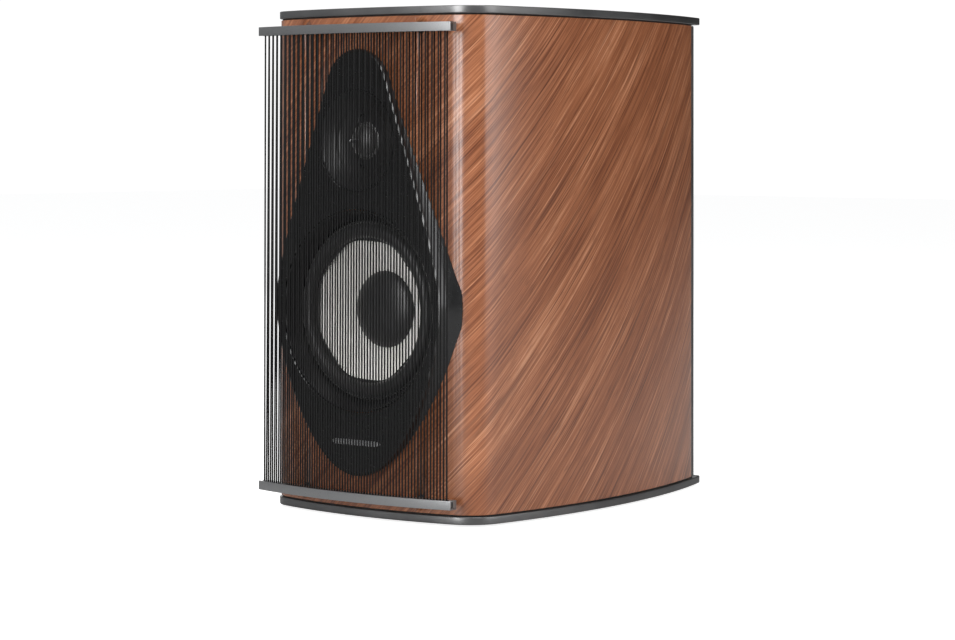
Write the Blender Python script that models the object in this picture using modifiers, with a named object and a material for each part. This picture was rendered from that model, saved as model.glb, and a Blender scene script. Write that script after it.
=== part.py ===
"""Two-way bookshelf loudspeaker, built as an assembly.

The cabinet is a lute-shaped shell of veneered plywood between two metal plates.  A raised
fascia carries the woofer and the tweeter, and a grille of laced elastic cord stands in front.
Metres, +Z up.  The front faces -Y, and the origin is under the middle of the bounding box.
Front-to-back sizes below are measured from the frontmost line of the two plates.
"""

import math

import bmesh
import bpy
from mathutils import Matrix, Vector

# ---------------------------------------------------------------- driving dimensions

HEIGHT = 0.395               # over the pads and both plates
PLATE_WIDTH = 0.2304         # widest span of the plates
PLATE_DEPTH = 0.352          # plates, front line to rear edge
PLATE_THICK = 0.006
GASKET_THICK = 0.0005
PAD_HEIGHT = 0.0015
PAD_RADIUS = 0.010
GAP = 0.0003                 # air left between pieces that touch

FRONT_BOW_RADIUS = 0.387     # plan radius of the bowed front
CORNER_RADIUS = 0.030        # plan radius of the front corners
SIDE_RADIUS = 0.640          # plan radius of the curved sides
WIDEST_Y = 0.108             # where the sides are widest apart
REAR_CORNER_RADIUS = 0.005

WOOD_INSET = 0.0012          # shell lies this far inside the plates' edge
REAR_OVERHANG = 0.021        # plates reach this far behind the shell's rear edge
SIDE_WALL = 0.016
BAFFLE_THICK = 0.026
BOARD_THICK = 0.018          # top and bottom boards of the shell
PANEL_THICK = 0.006
PANEL_SCREW_INSET = 0.012
BRACE_THICK = 0.009
BRACE_RIB = 0.022            # wood left beside and between the brace's windows
BRACE_WINDOWS = 3
LINING_THICK = 0.010

FASCIA_FRONT = -0.002        # flat front face of the fascia
FASCIA_RIM = 0.0093          # fascia beside the woofer, at its widest
FASCIA_WIDEST_RISE = 0.0055  # widest level above the woofer's centre
FASCIA_TOP_DROP = 0.032      # below the top of the cabinet
FASCIA_BOTTOM_Z = 0.033
FASCIA_CROWN_STEP = 0.010    # the crown is smaller than the tweeter's flange by this radius
FASCIA_DEPTH = 0.0156        # front face to the rear edge of the flare
FASCIA_FLARE_RADIUS = 0.0135
BADGE_LENGTH = 0.053
BADGE_HEIGHT = 0.0042
BADGE_POINT = 0.005          # length of each pointed end
BADGE_THICK = 0.0004
BADGE_RISE = 0.026           # badge's centre above the fascia's lower end

WOOFER_Z = 0.1605
WOOFER_FLANGE_RADIUS = 0.0777
WOOFER_FLANGE_THICK = 0.0035
WOOFER_FLANGE_Y = 0.0135     # front of the basket flange
WOOFER_BODY_STEP = 0.0117    # flange edge to the basket's body
TRIM_WIDTH = 0.0077          # sloped trim, flange edge to the surround
SURROUND_WIDTH = 0.0137      # surround's edge to the cone's edge
CONE_NECK_RADIUS = 0.0166
CONE_DEPTH = 0.029
CONE_THICK = 0.0009
SURROUND_HEIGHT = 0.0065
SURROUND_THICK = 0.0008
CAP_RADIUS = 0.0300
CAP_HEIGHT = 0.0090
MAGNET_RADIUS = 0.045
MAGNET_THICK = 0.016
BASKET_SHELF_RADIUS = 0.0435
BASKET_WALL = 0.003
POLE_PLATE_THICK = 0.005
COIL_TRAVEL = 0.005

TWEETER_DROP = 0.0708        # below the fascia's top
TWEETER_MOUTH_RADIUS = 0.0386
TWEETER_THROAT_RADIUS = 0.0148
TWEETER_THROAT_Y = 0.0086
TWEETER_FLANGE_LAND = 0.0034 # flange beyond the dish's mouth
TWEETER_FLANGE_Y = 0.0055
TWEETER_FLANGE_BACK = 0.013
DOME_RADIUS = 0.0125
DOME_HEIGHT = 0.0075
DOME_TRAVEL = 0.0003
BRIDGE_FOOT_RADIUS = 0.0205  # where the bridge over the dome meets the dish
BRIDGE_WIRE_RADIUS = 0.0008
BRIDGE_SEAT = 0.000767       # air under the bridge's cut ends
TWEETER_MAGNET_RADIUS = 0.036
TWEETER_MAGNET_THICK = 0.020
CHAMBER_RADIUS = 0.029
CHAMBER_DEPTH = 0.034

GRILLE_FRONT = -0.0184       # front of the bars at the middle
GRILLE_END_INSET = 0.0136    # bar ends inside the plates' widest line
GRILLE_RADIUS = 0.446        # plan radius of the bowed bars
BAR_HEIGHT = 0.007
BAR_DEPTH = 0.0094
FACE_THICK = 0.0016          # front strip of a bar
WEB_THICK = 0.0010
CORD_SLOT = 0.0020           # space for one row of cord behind the strip
TONGUE_THICK = 0.0014        # the cord is looped over this tongue in the top bar
TOP_BAR_DROP = 0.020         # underside of the top bar, below the cabinet's top
BOTTOM_BAR_Z = 0.0152        # underside of the bottom bar
CORD_DIAMETER = 0.0013
LOOP_COUNT = 35
PEG_X = 0.060
PEG_RADIUS = 0.0025
PEG_GRIP = 0.008
SOCKET_WALL = 0.0016

PORT_DROP = 0.095            # port's centre below the top of the cabinet
PORT_RADIUS = 0.025
PORT_WALL = 0.0025
PORT_LENGTH = 0.115
PORT_LIP = 0.009

TERMINAL_Z = 0.080
POST_SPACING = 0.038
POST_THREAD_RADIUS = 0.003
COLLAR_RADIUS = 0.0065
COLLAR_THICK = 0.003
TERMINAL_PLATE_THICK = 0.0025
WASHER_THICK = 0.0014
NUT_RADIUS = 0.0075
NUT_LENGTH = 0.012
NUT_TRAVEL = 0.005
POST_TIP = 0.0016            # post left beyond a fully opened nut

# ---------------------------------------------------------------- derived levels

WOOD_DEPTH = PLATE_DEPTH - REAR_OVERHANG
PANEL_FRONT = WOOD_DEPTH + GAP
PANEL_BACK = PANEL_FRONT + PANEL_THICK
TERMINAL_FRONT = PANEL_BACK + GAP
COLLAR_FRONT = TERMINAL_FRONT + TERMINAL_PLATE_THICK + GAP
WASHER_FRONT = COLLAR_FRONT + COLLAR_THICK + GAP
NUT_FRONT = WASHER_FRONT + WASHER_THICK + GAP
POST_END = NUT_FRONT + NUT_LENGTH + NUT_TRAVEL + POST_TIP
CENTRE_Y = (GRILLE_FRONT + POST_END) / 2
LOW_PLATE_Z = PAD_HEIGHT + GAP
LOW_GASKET_Z = LOW_PLATE_Z + PLATE_THICK + GAP
SHELL_BOTTOM = LOW_GASKET_Z + GASKET_THICK + GAP
HIGH_PLATE_Z = HEIGHT - PLATE_THICK
HIGH_GASKET_Z = HIGH_PLATE_Z - GAP - GASKET_THICK
SHELL_TOP = HIGH_GASKET_Z - GAP
CAVITY_BOTTOM = SHELL_BOTTOM + BOARD_THICK
CAVITY_TOP = SHELL_TOP - BOARD_THICK
WOOFER_BODY_RADIUS = WOOFER_FLANGE_RADIUS - WOOFER_BODY_STEP
SURROUND_RADIUS = WOOFER_FLANGE_RADIUS - TRIM_WIDTH
CONE_RADIUS = SURROUND_RADIUS - SURROUND_WIDTH
FASCIA_HALF_WIDTH = WOOFER_FLANGE_RADIUS + FASCIA_RIM
FASCIA_WIDEST_Z = WOOFER_Z + FASCIA_WIDEST_RISE
FASCIA_TOP_Z = HEIGHT - FASCIA_TOP_DROP
TWEETER_FLANGE_RADIUS = TWEETER_MOUTH_RADIUS + TWEETER_FLANGE_LAND
FASCIA_TOP_RADIUS = TWEETER_FLANGE_RADIUS - FASCIA_CROWN_STEP
TWEETER_Z = FASCIA_TOP_Z - TWEETER_DROP
PORT_Z = HEIGHT - PORT_DROP
GRILLE_HALF_WIDTH = PLATE_WIDTH / 2 - GRILLE_END_INSET
TOP_BAR_Z = HEIGHT - TOP_BAR_DROP
BRACE_MIDDLE_Z = (WOOFER_Z + WOOFER_FLANGE_RADIUS + TWEETER_Z - TWEETER_FLANGE_RADIUS) / 2

COLOURS = {
    "walnut": ((0.36, 0.16, 0.08), 0.35, 0.0),
    "graphite": ((0.30, 0.31, 0.32), 0.35, 0.9),
    "steel": ((0.55, 0.55, 0.56), 0.30, 1.0),
    "black_metal": ((0.03, 0.03, 0.03), 0.40, 0.6),
    "black_plastic": ((0.02, 0.02, 0.02), 0.50, 0.0),
    "rubber": ((0.015, 0.015, 0.015), 0.80, 0.0),
    "cord": ((0.012, 0.012, 0.012), 0.65, 0.0),
    "paper": ((0.72, 0.70, 0.66), 0.80, 0.0),
    "silk": ((0.05, 0.05, 0.05), 0.60, 0.0),
    "ferrite": ((0.10, 0.10, 0.11), 0.60, 0.2),
    "copper": ((0.72, 0.35, 0.18), 0.35, 1.0),
    "gold": ((0.80, 0.62, 0.30), 0.25, 1.0),
    "felt": ((0.20, 0.20, 0.20), 0.95, 0.0),
    "board": ((0.08, 0.16, 0.10), 0.50, 0.0),
    "film": ((0.55, 0.30, 0.08), 0.40, 0.0),
}

# ---------------------------------------------------------------- scene and helpers

for old in list(bpy.data.objects):
    bpy.data.objects.remove(old, do_unlink=True)

parts = bpy.data.collections.new("bookshelf_speaker")
cutters = bpy.data.collections.new("cutters")
bpy.context.scene.collection.children.link(parts)
bpy.context.scene.collection.children.link(cutters)


def material(name):
    """Principled material with a colour, roughness and metallic value from COLOURS."""
    found = bpy.data.materials.get(name)
    if found:
        return found
    colour, roughness, metallic = COLOURS[name]
    made = bpy.data.materials.new(name)
    made.use_nodes = True
    shader = made.node_tree.nodes["Principled BSDF"]
    shader.inputs["Base Color"].default_value = (*colour, 1.0)
    shader.inputs["Roughness"].default_value = roughness
    shader.inputs["Metallic"].default_value = metallic
    return made


def place(name, mesh, finish, location=(0, 0, 0), rotation=(0, 0, 0)):
    """Link a mesh as a named part; the location's Y is counted from the plates' front line."""
    made = bpy.data.objects.new(name, mesh)
    parts.objects.link(made)
    x, y, z = location
    made.location = (x, y - CENTRE_Y, z)
    made.rotation_euler = rotation
    if finish:
        mesh.materials.clear()
        mesh.materials.append(material(finish))
    return made


def as_cutter(made):
    """Move a part to the cutters, where it is not built."""
    parts.objects.unlink(made)
    cutters.objects.link(made)
    made.hide_render = True
    made.display_type = "WIRE"
    return made


def combine(target, tool, operation):
    """Add a Boolean with a cutter to a part."""
    step = target.modifiers.new(operation.lower(), "BOOLEAN")
    step.operation = operation
    step.solver = "EXACT"
    step.object = tool
    return target


def cut(target, tool):
    return combine(target, tool, "DIFFERENCE")


def join(target, tool):
    return combine(target, tool, "UNION")


def soften(made, width, segments=1, angle=40):
    """Round the edges of a part that are sharper than the angle."""
    step = made.modifiers.new("edges", "BEVEL")
    step.width = width
    step.segments = segments
    step.limit_method = "ANGLE"
    step.angle_limit = math.radians(angle)
    return made


def box(name, size, centre, finish):
    """Block with its centre at a place counted from the plates' front line."""
    mesh = bpy.data.meshes.new(name)
    build = bmesh.new()
    bmesh.ops.create_cube(build, size=1.0, matrix=Matrix.Diagonal((*size, 1.0)))
    build.to_mesh(mesh)
    build.free()
    return place(name, mesh, finish, centre)


def prism(name, outline, low, high, finish, location=(0, 0, 0), rotation=(0, 0, 0)):
    """Extrude a closed plan outline of (x, y) points from one level to another."""
    mesh = bpy.data.meshes.new(name)
    build = bmesh.new()
    base = build.faces.new([build.verts.new((x, y, low)) for x, y in outline])
    raised = bmesh.ops.extrude_face_region(build, geom=[base])["geom"]
    corners = [item for item in raised if isinstance(item, bmesh.types.BMVert)]
    bmesh.ops.translate(build, verts=corners, vec=(0, 0, high - low))
    bmesh.ops.recalc_face_normals(build, faces=build.faces)
    build.to_mesh(mesh)
    build.free()
    return place(name, mesh, finish, location, rotation)


def turned(name, profile, finish, x, z, steps=40):
    """Turn a profile of (radius, y) points about a front-to-back axis at x, z.

    The profile runs along its outer side from the front to the back and returns inside.
    It is closed unless it starts and ends on the axis.
    """
    mesh = bpy.data.meshes.new(name)
    points = [(radius, 0.0, -y) for radius, y in profile]
    edges = [(i, i + 1) for i in range(len(points) - 1)]
    if profile[0][0] > 0:
        edges.append((len(points) - 1, 0))
    mesh.from_pydata(points, edges, [])
    made = place(name, mesh, None, (x, 0, z), (math.radians(90), 0, 0))
    step = made.modifiers.new("turn", "SCREW")
    step.axis = "Z"
    step.angle = math.tau
    step.steps = steps
    step.render_steps = steps
    step.use_merge_vertices = True
    step.merge_threshold = 0.00001
    step.use_smooth_shade = True
    mesh.materials.append(material(finish))
    return made


def cylinder(name, radius, front, back, finish, x, z, steps=32):
    return turned(name, [(0, front), (radius, front), (radius, back), (0, back)], finish, x, z, steps)


def ring(name, outer, inner, front, back, finish, x, z, steps=32):
    profile = [(outer, front), (outer, back), (inner, back), (inner, front)]
    return turned(name, profile, finish, x, z, steps)


def arc_points(centre, radius, start, end, count):
    """Points on an arc, both ends included; angles in radians."""
    angles = [start + (end - start) * i / count for i in range(count + 1)]
    return [(centre[0] + radius * math.cos(a), centre[1] + radius * math.sin(a)) for a in angles]


def bezier_points(a, b, c, d, count):
    """Points on a cubic curve from a to d with handles b and c, the last one left out."""
    points = []
    for i in range(count):
        t = i / count
        s = 1 - t
        weights = (s ** 3, 3 * s * s * t, 3 * s * t * t, t ** 3)
        points.append(tuple(sum(w * p[k] for w, p in zip(weights, (a, b, c, d))) for k in (0, 1)))
    return points


def circle_crossing(a, radius_a, b, radius_b):
    """The crossing of two circles that lies on the +X side of the line through their centres."""
    a, b = Vector(a), Vector(b)
    span = (b - a).length
    along = (radius_a ** 2 - radius_b ** 2 + span ** 2) / (2 * span)
    across = math.sqrt(radius_a ** 2 - along ** 2)
    unit = (b - a) / span
    foot = a + unit * along
    side = Vector((unit.y, -unit.x)) * across
    return max(foot + side, foot - side, key=lambda p: p.x)


def lute_outline(inset, rear, front=None, corner=CORNER_RADIUS):
    """Plan outline of the cabinet, inset from the plates' edge and cut off at the rear.

    The front bow, the corner, the curved side and the rear corner are arcs that meet smoothly.
    The front may have an inset of its own, for the inside of the shell.
    """
    front = inset if front is None else front
    bow = FRONT_BOW_RADIUS - front
    side = SIDE_RADIUS - inset
    small = max(corner - inset, 0.002)
    bow_centre = (0.0, FRONT_BOW_RADIUS)
    side_centre = (PLATE_WIDTH / 2 - SIDE_RADIUS, WIDEST_Y)
    corner_centre = circle_crossing(bow_centre, bow - small, side_centre, side - small)
    rear_small = max(REAR_CORNER_RADIUS - inset, 0.002)
    rear_y = rear - rear_small
    reach = math.sqrt((side - rear_small) ** 2 - (rear_y - WIDEST_Y) ** 2)
    rear_centre = (side_centre[0] + reach, rear_y)
    bow_end = math.atan2(corner_centre.y - bow_centre[1], corner_centre.x)
    side_start = math.atan2(corner_centre.y - side_centre[1], corner_centre.x - side_centre[0])
    side_end = math.atan2(rear_centre[1] - side_centre[1], rear_centre[0] - side_centre[0])
    half = arc_points(bow_centre, bow, -math.pi / 2, bow_end, 7)
    half += arc_points(corner_centre, small, bow_end, side_start, 5)[1:]
    half += arc_points(side_centre, side, side_start, side_end, 9)[1:]
    half += arc_points(rear_centre, rear_small, side_end, math.pi / 2, 2)[1:]
    return half + [(-x, y) for x, y in reversed(half[1:])]


def side_half_width(y, inset):
    """Half-width of the cabinet at a depth behind the corners."""
    side = SIDE_RADIUS - inset
    return PLATE_WIDTH / 2 - SIDE_RADIUS + math.sqrt(side ** 2 - (y - WIDEST_Y) ** 2)


def bow_depth(x, inset=0.0):
    """Depth of the bowed front at a distance from the middle."""
    bow = FRONT_BOW_RADIUS - inset
    return FRONT_BOW_RADIUS - math.sqrt(bow ** 2 - x ** 2)


# ---------------------------------------------------------------- plates, gaskets and pads

def make_plates():
    """Two machined metal plates close the cabinet above and below."""
    outline = lute_outline(0.0, PLATE_DEPTH)
    for name, low in (("top_plate", HIGH_PLATE_Z), ("bottom_plate", LOW_PLATE_Z)):
        soften(prism(name, outline, low, low + PLATE_THICK, "graphite"), 0.0007, angle=60)


def make_gaskets():
    """Thin black gaskets leave a shadow line between each plate and the shell."""
    outline = lute_outline(WOOD_INSET + 0.001, PANEL_BACK - 0.001)
    for name, low in (("top_gasket", HIGH_GASKET_Z), ("bottom_gasket", LOW_GASKET_Z)):
        prism(name, outline, low, low + GASKET_THICK, "rubber")


def make_pads():
    """Four thin rubber pads under the bottom plate."""
    front = 0.045
    rear = PLATE_DEPTH - 0.040
    places = {
        "pad_front_left": (-side_half_width(front, 0.030), front),
        "pad_front_right": (side_half_width(front, 0.030), front),
        "pad_rear_left": (-side_half_width(rear, 0.022), rear),
        "pad_rear_right": (side_half_width(rear, 0.022), rear),
    }
    for name, (x, y) in places.items():
        outline = arc_points((0, 0), PAD_RADIUS, 0, math.tau, 16)[:-1]
        prism(name, outline, 0.0, PAD_HEIGHT, "rubber", (x, y, 0))


# ---------------------------------------------------------------- cabinet shell and its lining

def make_shell():
    """Shell of bent plywood with boards above and below, open at the rear."""
    shell = prism("cabinet_shell", lute_outline(WOOD_INSET, WOOD_DEPTH), SHELL_BOTTOM, SHELL_TOP, "walnut")
    hollow = lute_outline(WOOD_INSET + SIDE_WALL, WOOD_DEPTH + 0.010, WOOD_INSET + BAFFLE_THICK)
    cut(shell, as_cutter(prism("hollow", hollow, CAVITY_BOTTOM, CAVITY_TOP, None)))
    recess = WOOFER_FLANGE_Y + WOOFER_FLANGE_THICK + GAP
    woofer_hole = turned("woofer_hole", [
        (0, -0.010), (WOOFER_FLANGE_RADIUS + 2 * GAP, -0.010), (WOOFER_FLANGE_RADIUS + 2 * GAP, recess),
        (WOOFER_BODY_RADIUS + 0.0015, recess), (WOOFER_BODY_RADIUS + 0.0015, 0.060), (0, 0.060),
    ], "walnut", 0, WOOFER_Z, 40)
    cut(shell, as_cutter(woofer_hole))
    seat = TWEETER_FLANGE_BACK + GAP
    tweeter_hole = turned("tweeter_hole", [
        (0, -0.010), (TWEETER_FLANGE_RADIUS + GAP, -0.010), (TWEETER_FLANGE_RADIUS + GAP, seat),
        (TWEETER_MAGNET_RADIUS + 0.001, seat), (TWEETER_MAGNET_RADIUS + 0.001, 0.060), (0, 0.060),
    ], "walnut", 0, TWEETER_Z, 32)
    cut(shell, as_cutter(tweeter_hole))
    for side in (-1, 1):
        for z in (TOP_BAR_Z + BAR_HEIGHT / 2, BOTTOM_BAR_Z + BAR_HEIGHT / 2):
            radius = PEG_RADIUS + SOCKET_WALL + 2 * GAP
            hole = cylinder("socket_hole", radius, -0.010, socket_front() + PEG_GRIP + 2 * GAP,
                            "walnut", side * PEG_X, z, 12)
            cut(shell, as_cutter(hole))
    return shell


def socket_front():
    """Depth at which the grille sockets begin, just under the bowed veneer."""
    return bow_depth(PEG_X + PEG_RADIUS + SOCKET_WALL, WOOD_INSET) + GAP


def make_sockets():
    """Four nylon cups in the shell hold the grille's pegs."""
    rows = {"top": TOP_BAR_Z + BAR_HEIGHT / 2, "bottom": BOTTOM_BAR_Z + BAR_HEIGHT / 2}
    for row, z in rows.items():
        for side_name, side in (("left", -1), ("right", 1)):
            outer = PEG_RADIUS + SOCKET_WALL
            inner = PEG_RADIUS + GAP
            ring(f"grille_socket_{row}_{side_name}", outer, inner, socket_front(),
                 socket_front() + PEG_GRIP, "black_plastic", side * PEG_X, z, 12)


def make_brace():
    """Plywood shelf brace across the cavity, between the two drivers."""
    middle = BRACE_MIDDLE_Z
    inset = WOOD_INSET + SIDE_WALL + GAP
    outline = lute_outline(inset, WOOD_DEPTH - 0.002, WOOD_INSET + BAFFLE_THICK + GAP)
    brace = prism("shelf_brace", outline, middle - BRACE_THICK / 2,
                  middle + BRACE_THICK / 2, "walnut")
    front = WOOD_INSET + BAFFLE_THICK + 0.038
    rear = WOOD_DEPTH - 0.040
    length = (rear - front - (BRACE_WINDOWS - 1) * BRACE_RIB) / BRACE_WINDOWS
    for index in range(BRACE_WINDOWS):
        y = front + length / 2 + index * (length + BRACE_RIB)
        half = side_half_width(y + length / 2, inset) - BRACE_RIB
        window = box(f"brace_window_{index}", (2 * half, length, 4 * BRACE_THICK), (0, y, middle), None)
        cut(brace, as_cutter(window))


def make_lining():
    """Two felt sheets against the side walls, below the brace."""
    inset = WOOD_INSET + SIDE_WALL + GAP
    front = WOOD_INSET + BAFFLE_THICK + 0.0328
    rear = WOOD_DEPTH - 0.021
    top = BRACE_MIDDLE_Z - BRACE_THICK / 2 - 0.0347
    steps = 8
    ys = [front + (rear - front) * i / steps for i in range(steps + 1)]
    outer = [(side_half_width(y, inset), y) for y in ys]
    inner = [(side_half_width(y, inset + LINING_THICK), y) for y in reversed(ys)]
    for side_name, side in (("left", -1), ("right", 1)):
        outline = [(side * x, y) for x, y in outer + inner]
        prism(f"felt_lining_{side_name}", outline, CAVITY_BOTTOM + 0.004, top, "felt")


# ---------------------------------------------------------------- rear panel, port and terminals

def panel_half_width():
    return side_half_width(PANEL_BACK, WOOD_INSET)


def make_rear_panel():
    """Metal panel over the rear of the shell, with holes for the port, posts and screws."""
    size = (2 * panel_half_width(), PANEL_THICK, SHELL_TOP - SHELL_BOTTOM)
    centre = (0, (PANEL_FRONT + PANEL_BACK) / 2, (SHELL_TOP + SHELL_BOTTOM) / 2)
    panel = soften(box("rear_panel", size, centre, "graphite"), 0.0008)
    through = (PANEL_FRONT - 0.01, PANEL_BACK + 0.01)
    port_hole = cylinder("port_hole", PORT_RADIUS + PORT_WALL + GAP, *through, "graphite", 0, PORT_Z, 24)
    cut(panel, as_cutter(port_hole))
    for side in (-1, 1):
        hole = cylinder("post_hole", POST_THREAD_RADIUS + 0.001, *through, "graphite",
                        side * POST_SPACING / 2, TERMINAL_Z, 20)
        cut(panel, as_cutter(hole))
    for name, x, z in screw_places():
        seat = PANEL_BACK - 0.0026
        hole = turned(name + "_hole", [
            (0, PANEL_FRONT - 0.01), (0.0021, PANEL_FRONT - 0.01), (0.0021, seat),
            (0.0041, seat), (0.0041, PANEL_BACK + 0.01), (0, PANEL_BACK + 0.01),
        ], "graphite", x, z, 12)
        cut(panel, as_cutter(hole))


def screw_places():
    """Names and places of the four panel screws."""
    x = panel_half_width() - PANEL_SCREW_INSET
    low = SHELL_BOTTOM + PANEL_SCREW_INSET
    high = SHELL_TOP - PANEL_SCREW_INSET
    return [
        ("panel_screw_top_left", -x, high), ("panel_screw_top_right", x, high),
        ("panel_screw_bottom_left", -x, low), ("panel_screw_bottom_right", x, low),
    ]


def make_panel_screws():
    """Socket-head screws, sunk in the panel and ending in the shell's rear edge."""
    shell = bpy.data.objects["cabinet_shell"]
    for name, x, z in screw_places():
        head = PANEL_BACK - 0.0026 + GAP
        tip = PANEL_FRONT - 0.012
        screw = turned(name, [
            (0, tip), (0.0018, tip), (0.0018, head), (0.0038, head), (0.0038, PANEL_BACK - 0.0001),
            (0, PANEL_BACK - 0.0001),
        ], "steel", x, z, 12)
        hexagon = arc_points((0, 0), 0.0017, 0, math.tau, 6)[:-1]
        key = prism(name + "_key", hexagon, -PANEL_BACK - 0.002, -PANEL_BACK + 0.0016, None,
                    (x, 0, z), (math.radians(90), 0, 0))
        cut(screw, as_cutter(key))
        hole = cylinder(name + "_bore", 0.0021, tip - GAP, WOOD_DEPTH + 0.01, "walnut", x, z, 10)
        cut(shell, as_cutter(hole))


def make_port():
    """Reflex port: a plastic tube flared at its inner end, and a metal flare ring outside."""
    outer = PORT_RADIUS + PORT_WALL
    mouth = PANEL_BACK - PORT_LENGTH
    turned("port_tube", [
        (outer + 0.006, mouth), (outer + 0.003, mouth + 0.004), (outer, mouth + 0.010),
        (outer, PANEL_BACK), (PORT_RADIUS, PANEL_BACK), (PORT_RADIUS, mouth + 0.010),
        (PORT_RADIUS + 0.0015, mouth + 0.003), (PORT_RADIUS + 0.005, mouth),
    ], "black_plastic", 0, PORT_Z, 24)
    lip = PORT_RADIUS + PORT_LIP
    face = PANEL_BACK + GAP
    turned("port_flare", [
        (lip, face), (PORT_RADIUS, face), (PORT_RADIUS + 0.0008, face + 0.0018),
        (PORT_RADIUS + 0.0030, face + 0.0030), (PORT_RADIUS + 0.0058, face + 0.0030), (lip, face + 0.0010),
    ][::-1], "graphite", 0, PORT_Z, 24)


def make_terminals():
    """Terminal plate with two gold-plated binding posts, their washers and knurled nuts."""
    plate_back = TERMINAL_FRONT + TERMINAL_PLATE_THICK
    size = (POST_SPACING + 0.034, TERMINAL_PLATE_THICK, 0.036)
    plate = box("terminal_plate", size, (0, (TERMINAL_FRONT + plate_back) / 2, TERMINAL_Z), "black_plastic")
    mesh = plate.data
    weight = mesh.attributes.new("bevel_weight_edge", "FLOAT", "EDGE")
    for edge in mesh.edges:
        a, b = (mesh.vertices[i].co for i in edge.vertices)
        weight.data[edge.index].value = 1.0 if abs(a.y - b.y) > size[1] / 2 else 0.0
    corners = plate.modifiers.new("corners", "BEVEL")
    corners.width = 0.004
    corners.segments = 3
    corners.limit_method = "WEIGHT"
    for side_name, side in (("left", -1), ("right", 1)):
        x = side * POST_SPACING / 2
        hole = cylinder("plate_hole", POST_THREAD_RADIUS + GAP, TERMINAL_FRONT - 0.01, plate_back + 0.01,
                        "black_plastic", x, TERMINAL_Z, 20)
        cut(plate, as_cutter(hole))
        collar_end = COLLAR_FRONT + COLLAR_THICK
        turned(f"binding_post_{side_name}", [
            (0, PANEL_FRONT - 0.014), (POST_THREAD_RADIUS, PANEL_FRONT - 0.014),
            (POST_THREAD_RADIUS, COLLAR_FRONT), (COLLAR_RADIUS, COLLAR_FRONT), (COLLAR_RADIUS, collar_end),
            (POST_THREAD_RADIUS, collar_end), (POST_THREAD_RADIUS, POST_END - 0.0006),
            (POST_THREAD_RADIUS - 0.0006, POST_END), (0, POST_END),
        ], "gold", x, TERMINAL_Z, 16)
        bore = POST_THREAD_RADIUS + GAP
        ring(f"post_washer_{side_name}", COLLAR_RADIUS + 0.0001, bore, WASHER_FRONT,
             WASHER_FRONT + WASHER_THICK, "gold", x, TERMINAL_Z, 16)
        nut = NUT_FRONT
        knob = turned(f"binding_nut_{side_name}", [
            (NUT_RADIUS - 0.0012, nut), (NUT_RADIUS, nut + 0.0012), (NUT_RADIUS, nut + NUT_LENGTH - 0.0015),
            (NUT_RADIUS - 0.0015, nut + NUT_LENGTH), (bore, nut + NUT_LENGTH), (bore, nut),
        ], "gold", x, TERMINAL_Z, 18)
        for index in range(6):
            angle = math.tau * index / 6
            reach = NUT_RADIUS + 0.0012
            groove = cylinder("nut_groove", 0.0022, nut - 0.01, nut + NUT_LENGTH + 0.01, "gold",
                              x + reach * math.cos(angle), TERMINAL_Z + reach * math.sin(angle), 8)
            cut(knob, as_cutter(groove))


# ---------------------------------------------------------------- fascia

def fascia_outline():
    """Right half of the teardrop outline as (x, z) points, top to bottom."""
    top_centre = FASCIA_TOP_Z - FASCIA_TOP_RADIUS
    lean = math.asin((FASCIA_HALF_WIDTH - FASCIA_TOP_RADIUS) / (top_centre - FASCIA_WIDEST_Z))
    crown = arc_points((0, top_centre), FASCIA_TOP_RADIUS, math.pi / 2, lean, 7)
    end = crown[-1]
    flank_handle = 0.34 * (end[1] - FASCIA_WIDEST_Z)
    upper = bezier_points(
        end,
        (end[0] + flank_handle * math.sin(lean), end[1] - flank_handle * math.cos(lean)),
        (FASCIA_HALF_WIDTH, FASCIA_WIDEST_Z + 0.18 * (end[1] - FASCIA_WIDEST_Z)),
        (FASCIA_HALF_WIDTH, FASCIA_WIDEST_Z),
        10)
    drop = FASCIA_WIDEST_Z - FASCIA_BOTTOM_Z
    lower = bezier_points(
        (FASCIA_HALF_WIDTH, FASCIA_WIDEST_Z),
        (FASCIA_HALF_WIDTH, FASCIA_WIDEST_Z - 0.325 * drop),
        (0.565 * FASCIA_HALF_WIDTH, FASCIA_BOTTOM_Z),
        (0.0, FASCIA_BOTTOM_Z),
        12)
    return crown[:-1] + upper + lower + [(0.0, FASCIA_BOTTOM_Z)]


def flared_ring(half, depth):
    """The closed outline grown outwards by the flare at a depth behind the front face."""
    grow = depth ** 2 / (2 * FASCIA_FLARE_RADIUS)
    loop = [Vector(p) for p in half] + [Vector((-x, z)) for x, z in reversed(half[1:-1])]
    grown = []
    for index, point in enumerate(loop):
        along = loop[(index + 1) % len(loop)] - loop[index - 1]
        normal = Vector((-along.y, along.x)).normalized()
        if normal.dot(point - Vector((0, FASCIA_WIDEST_Z))) < 0:
            normal.negate()
        grown.append(point + normal * grow)
    return grown


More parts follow.
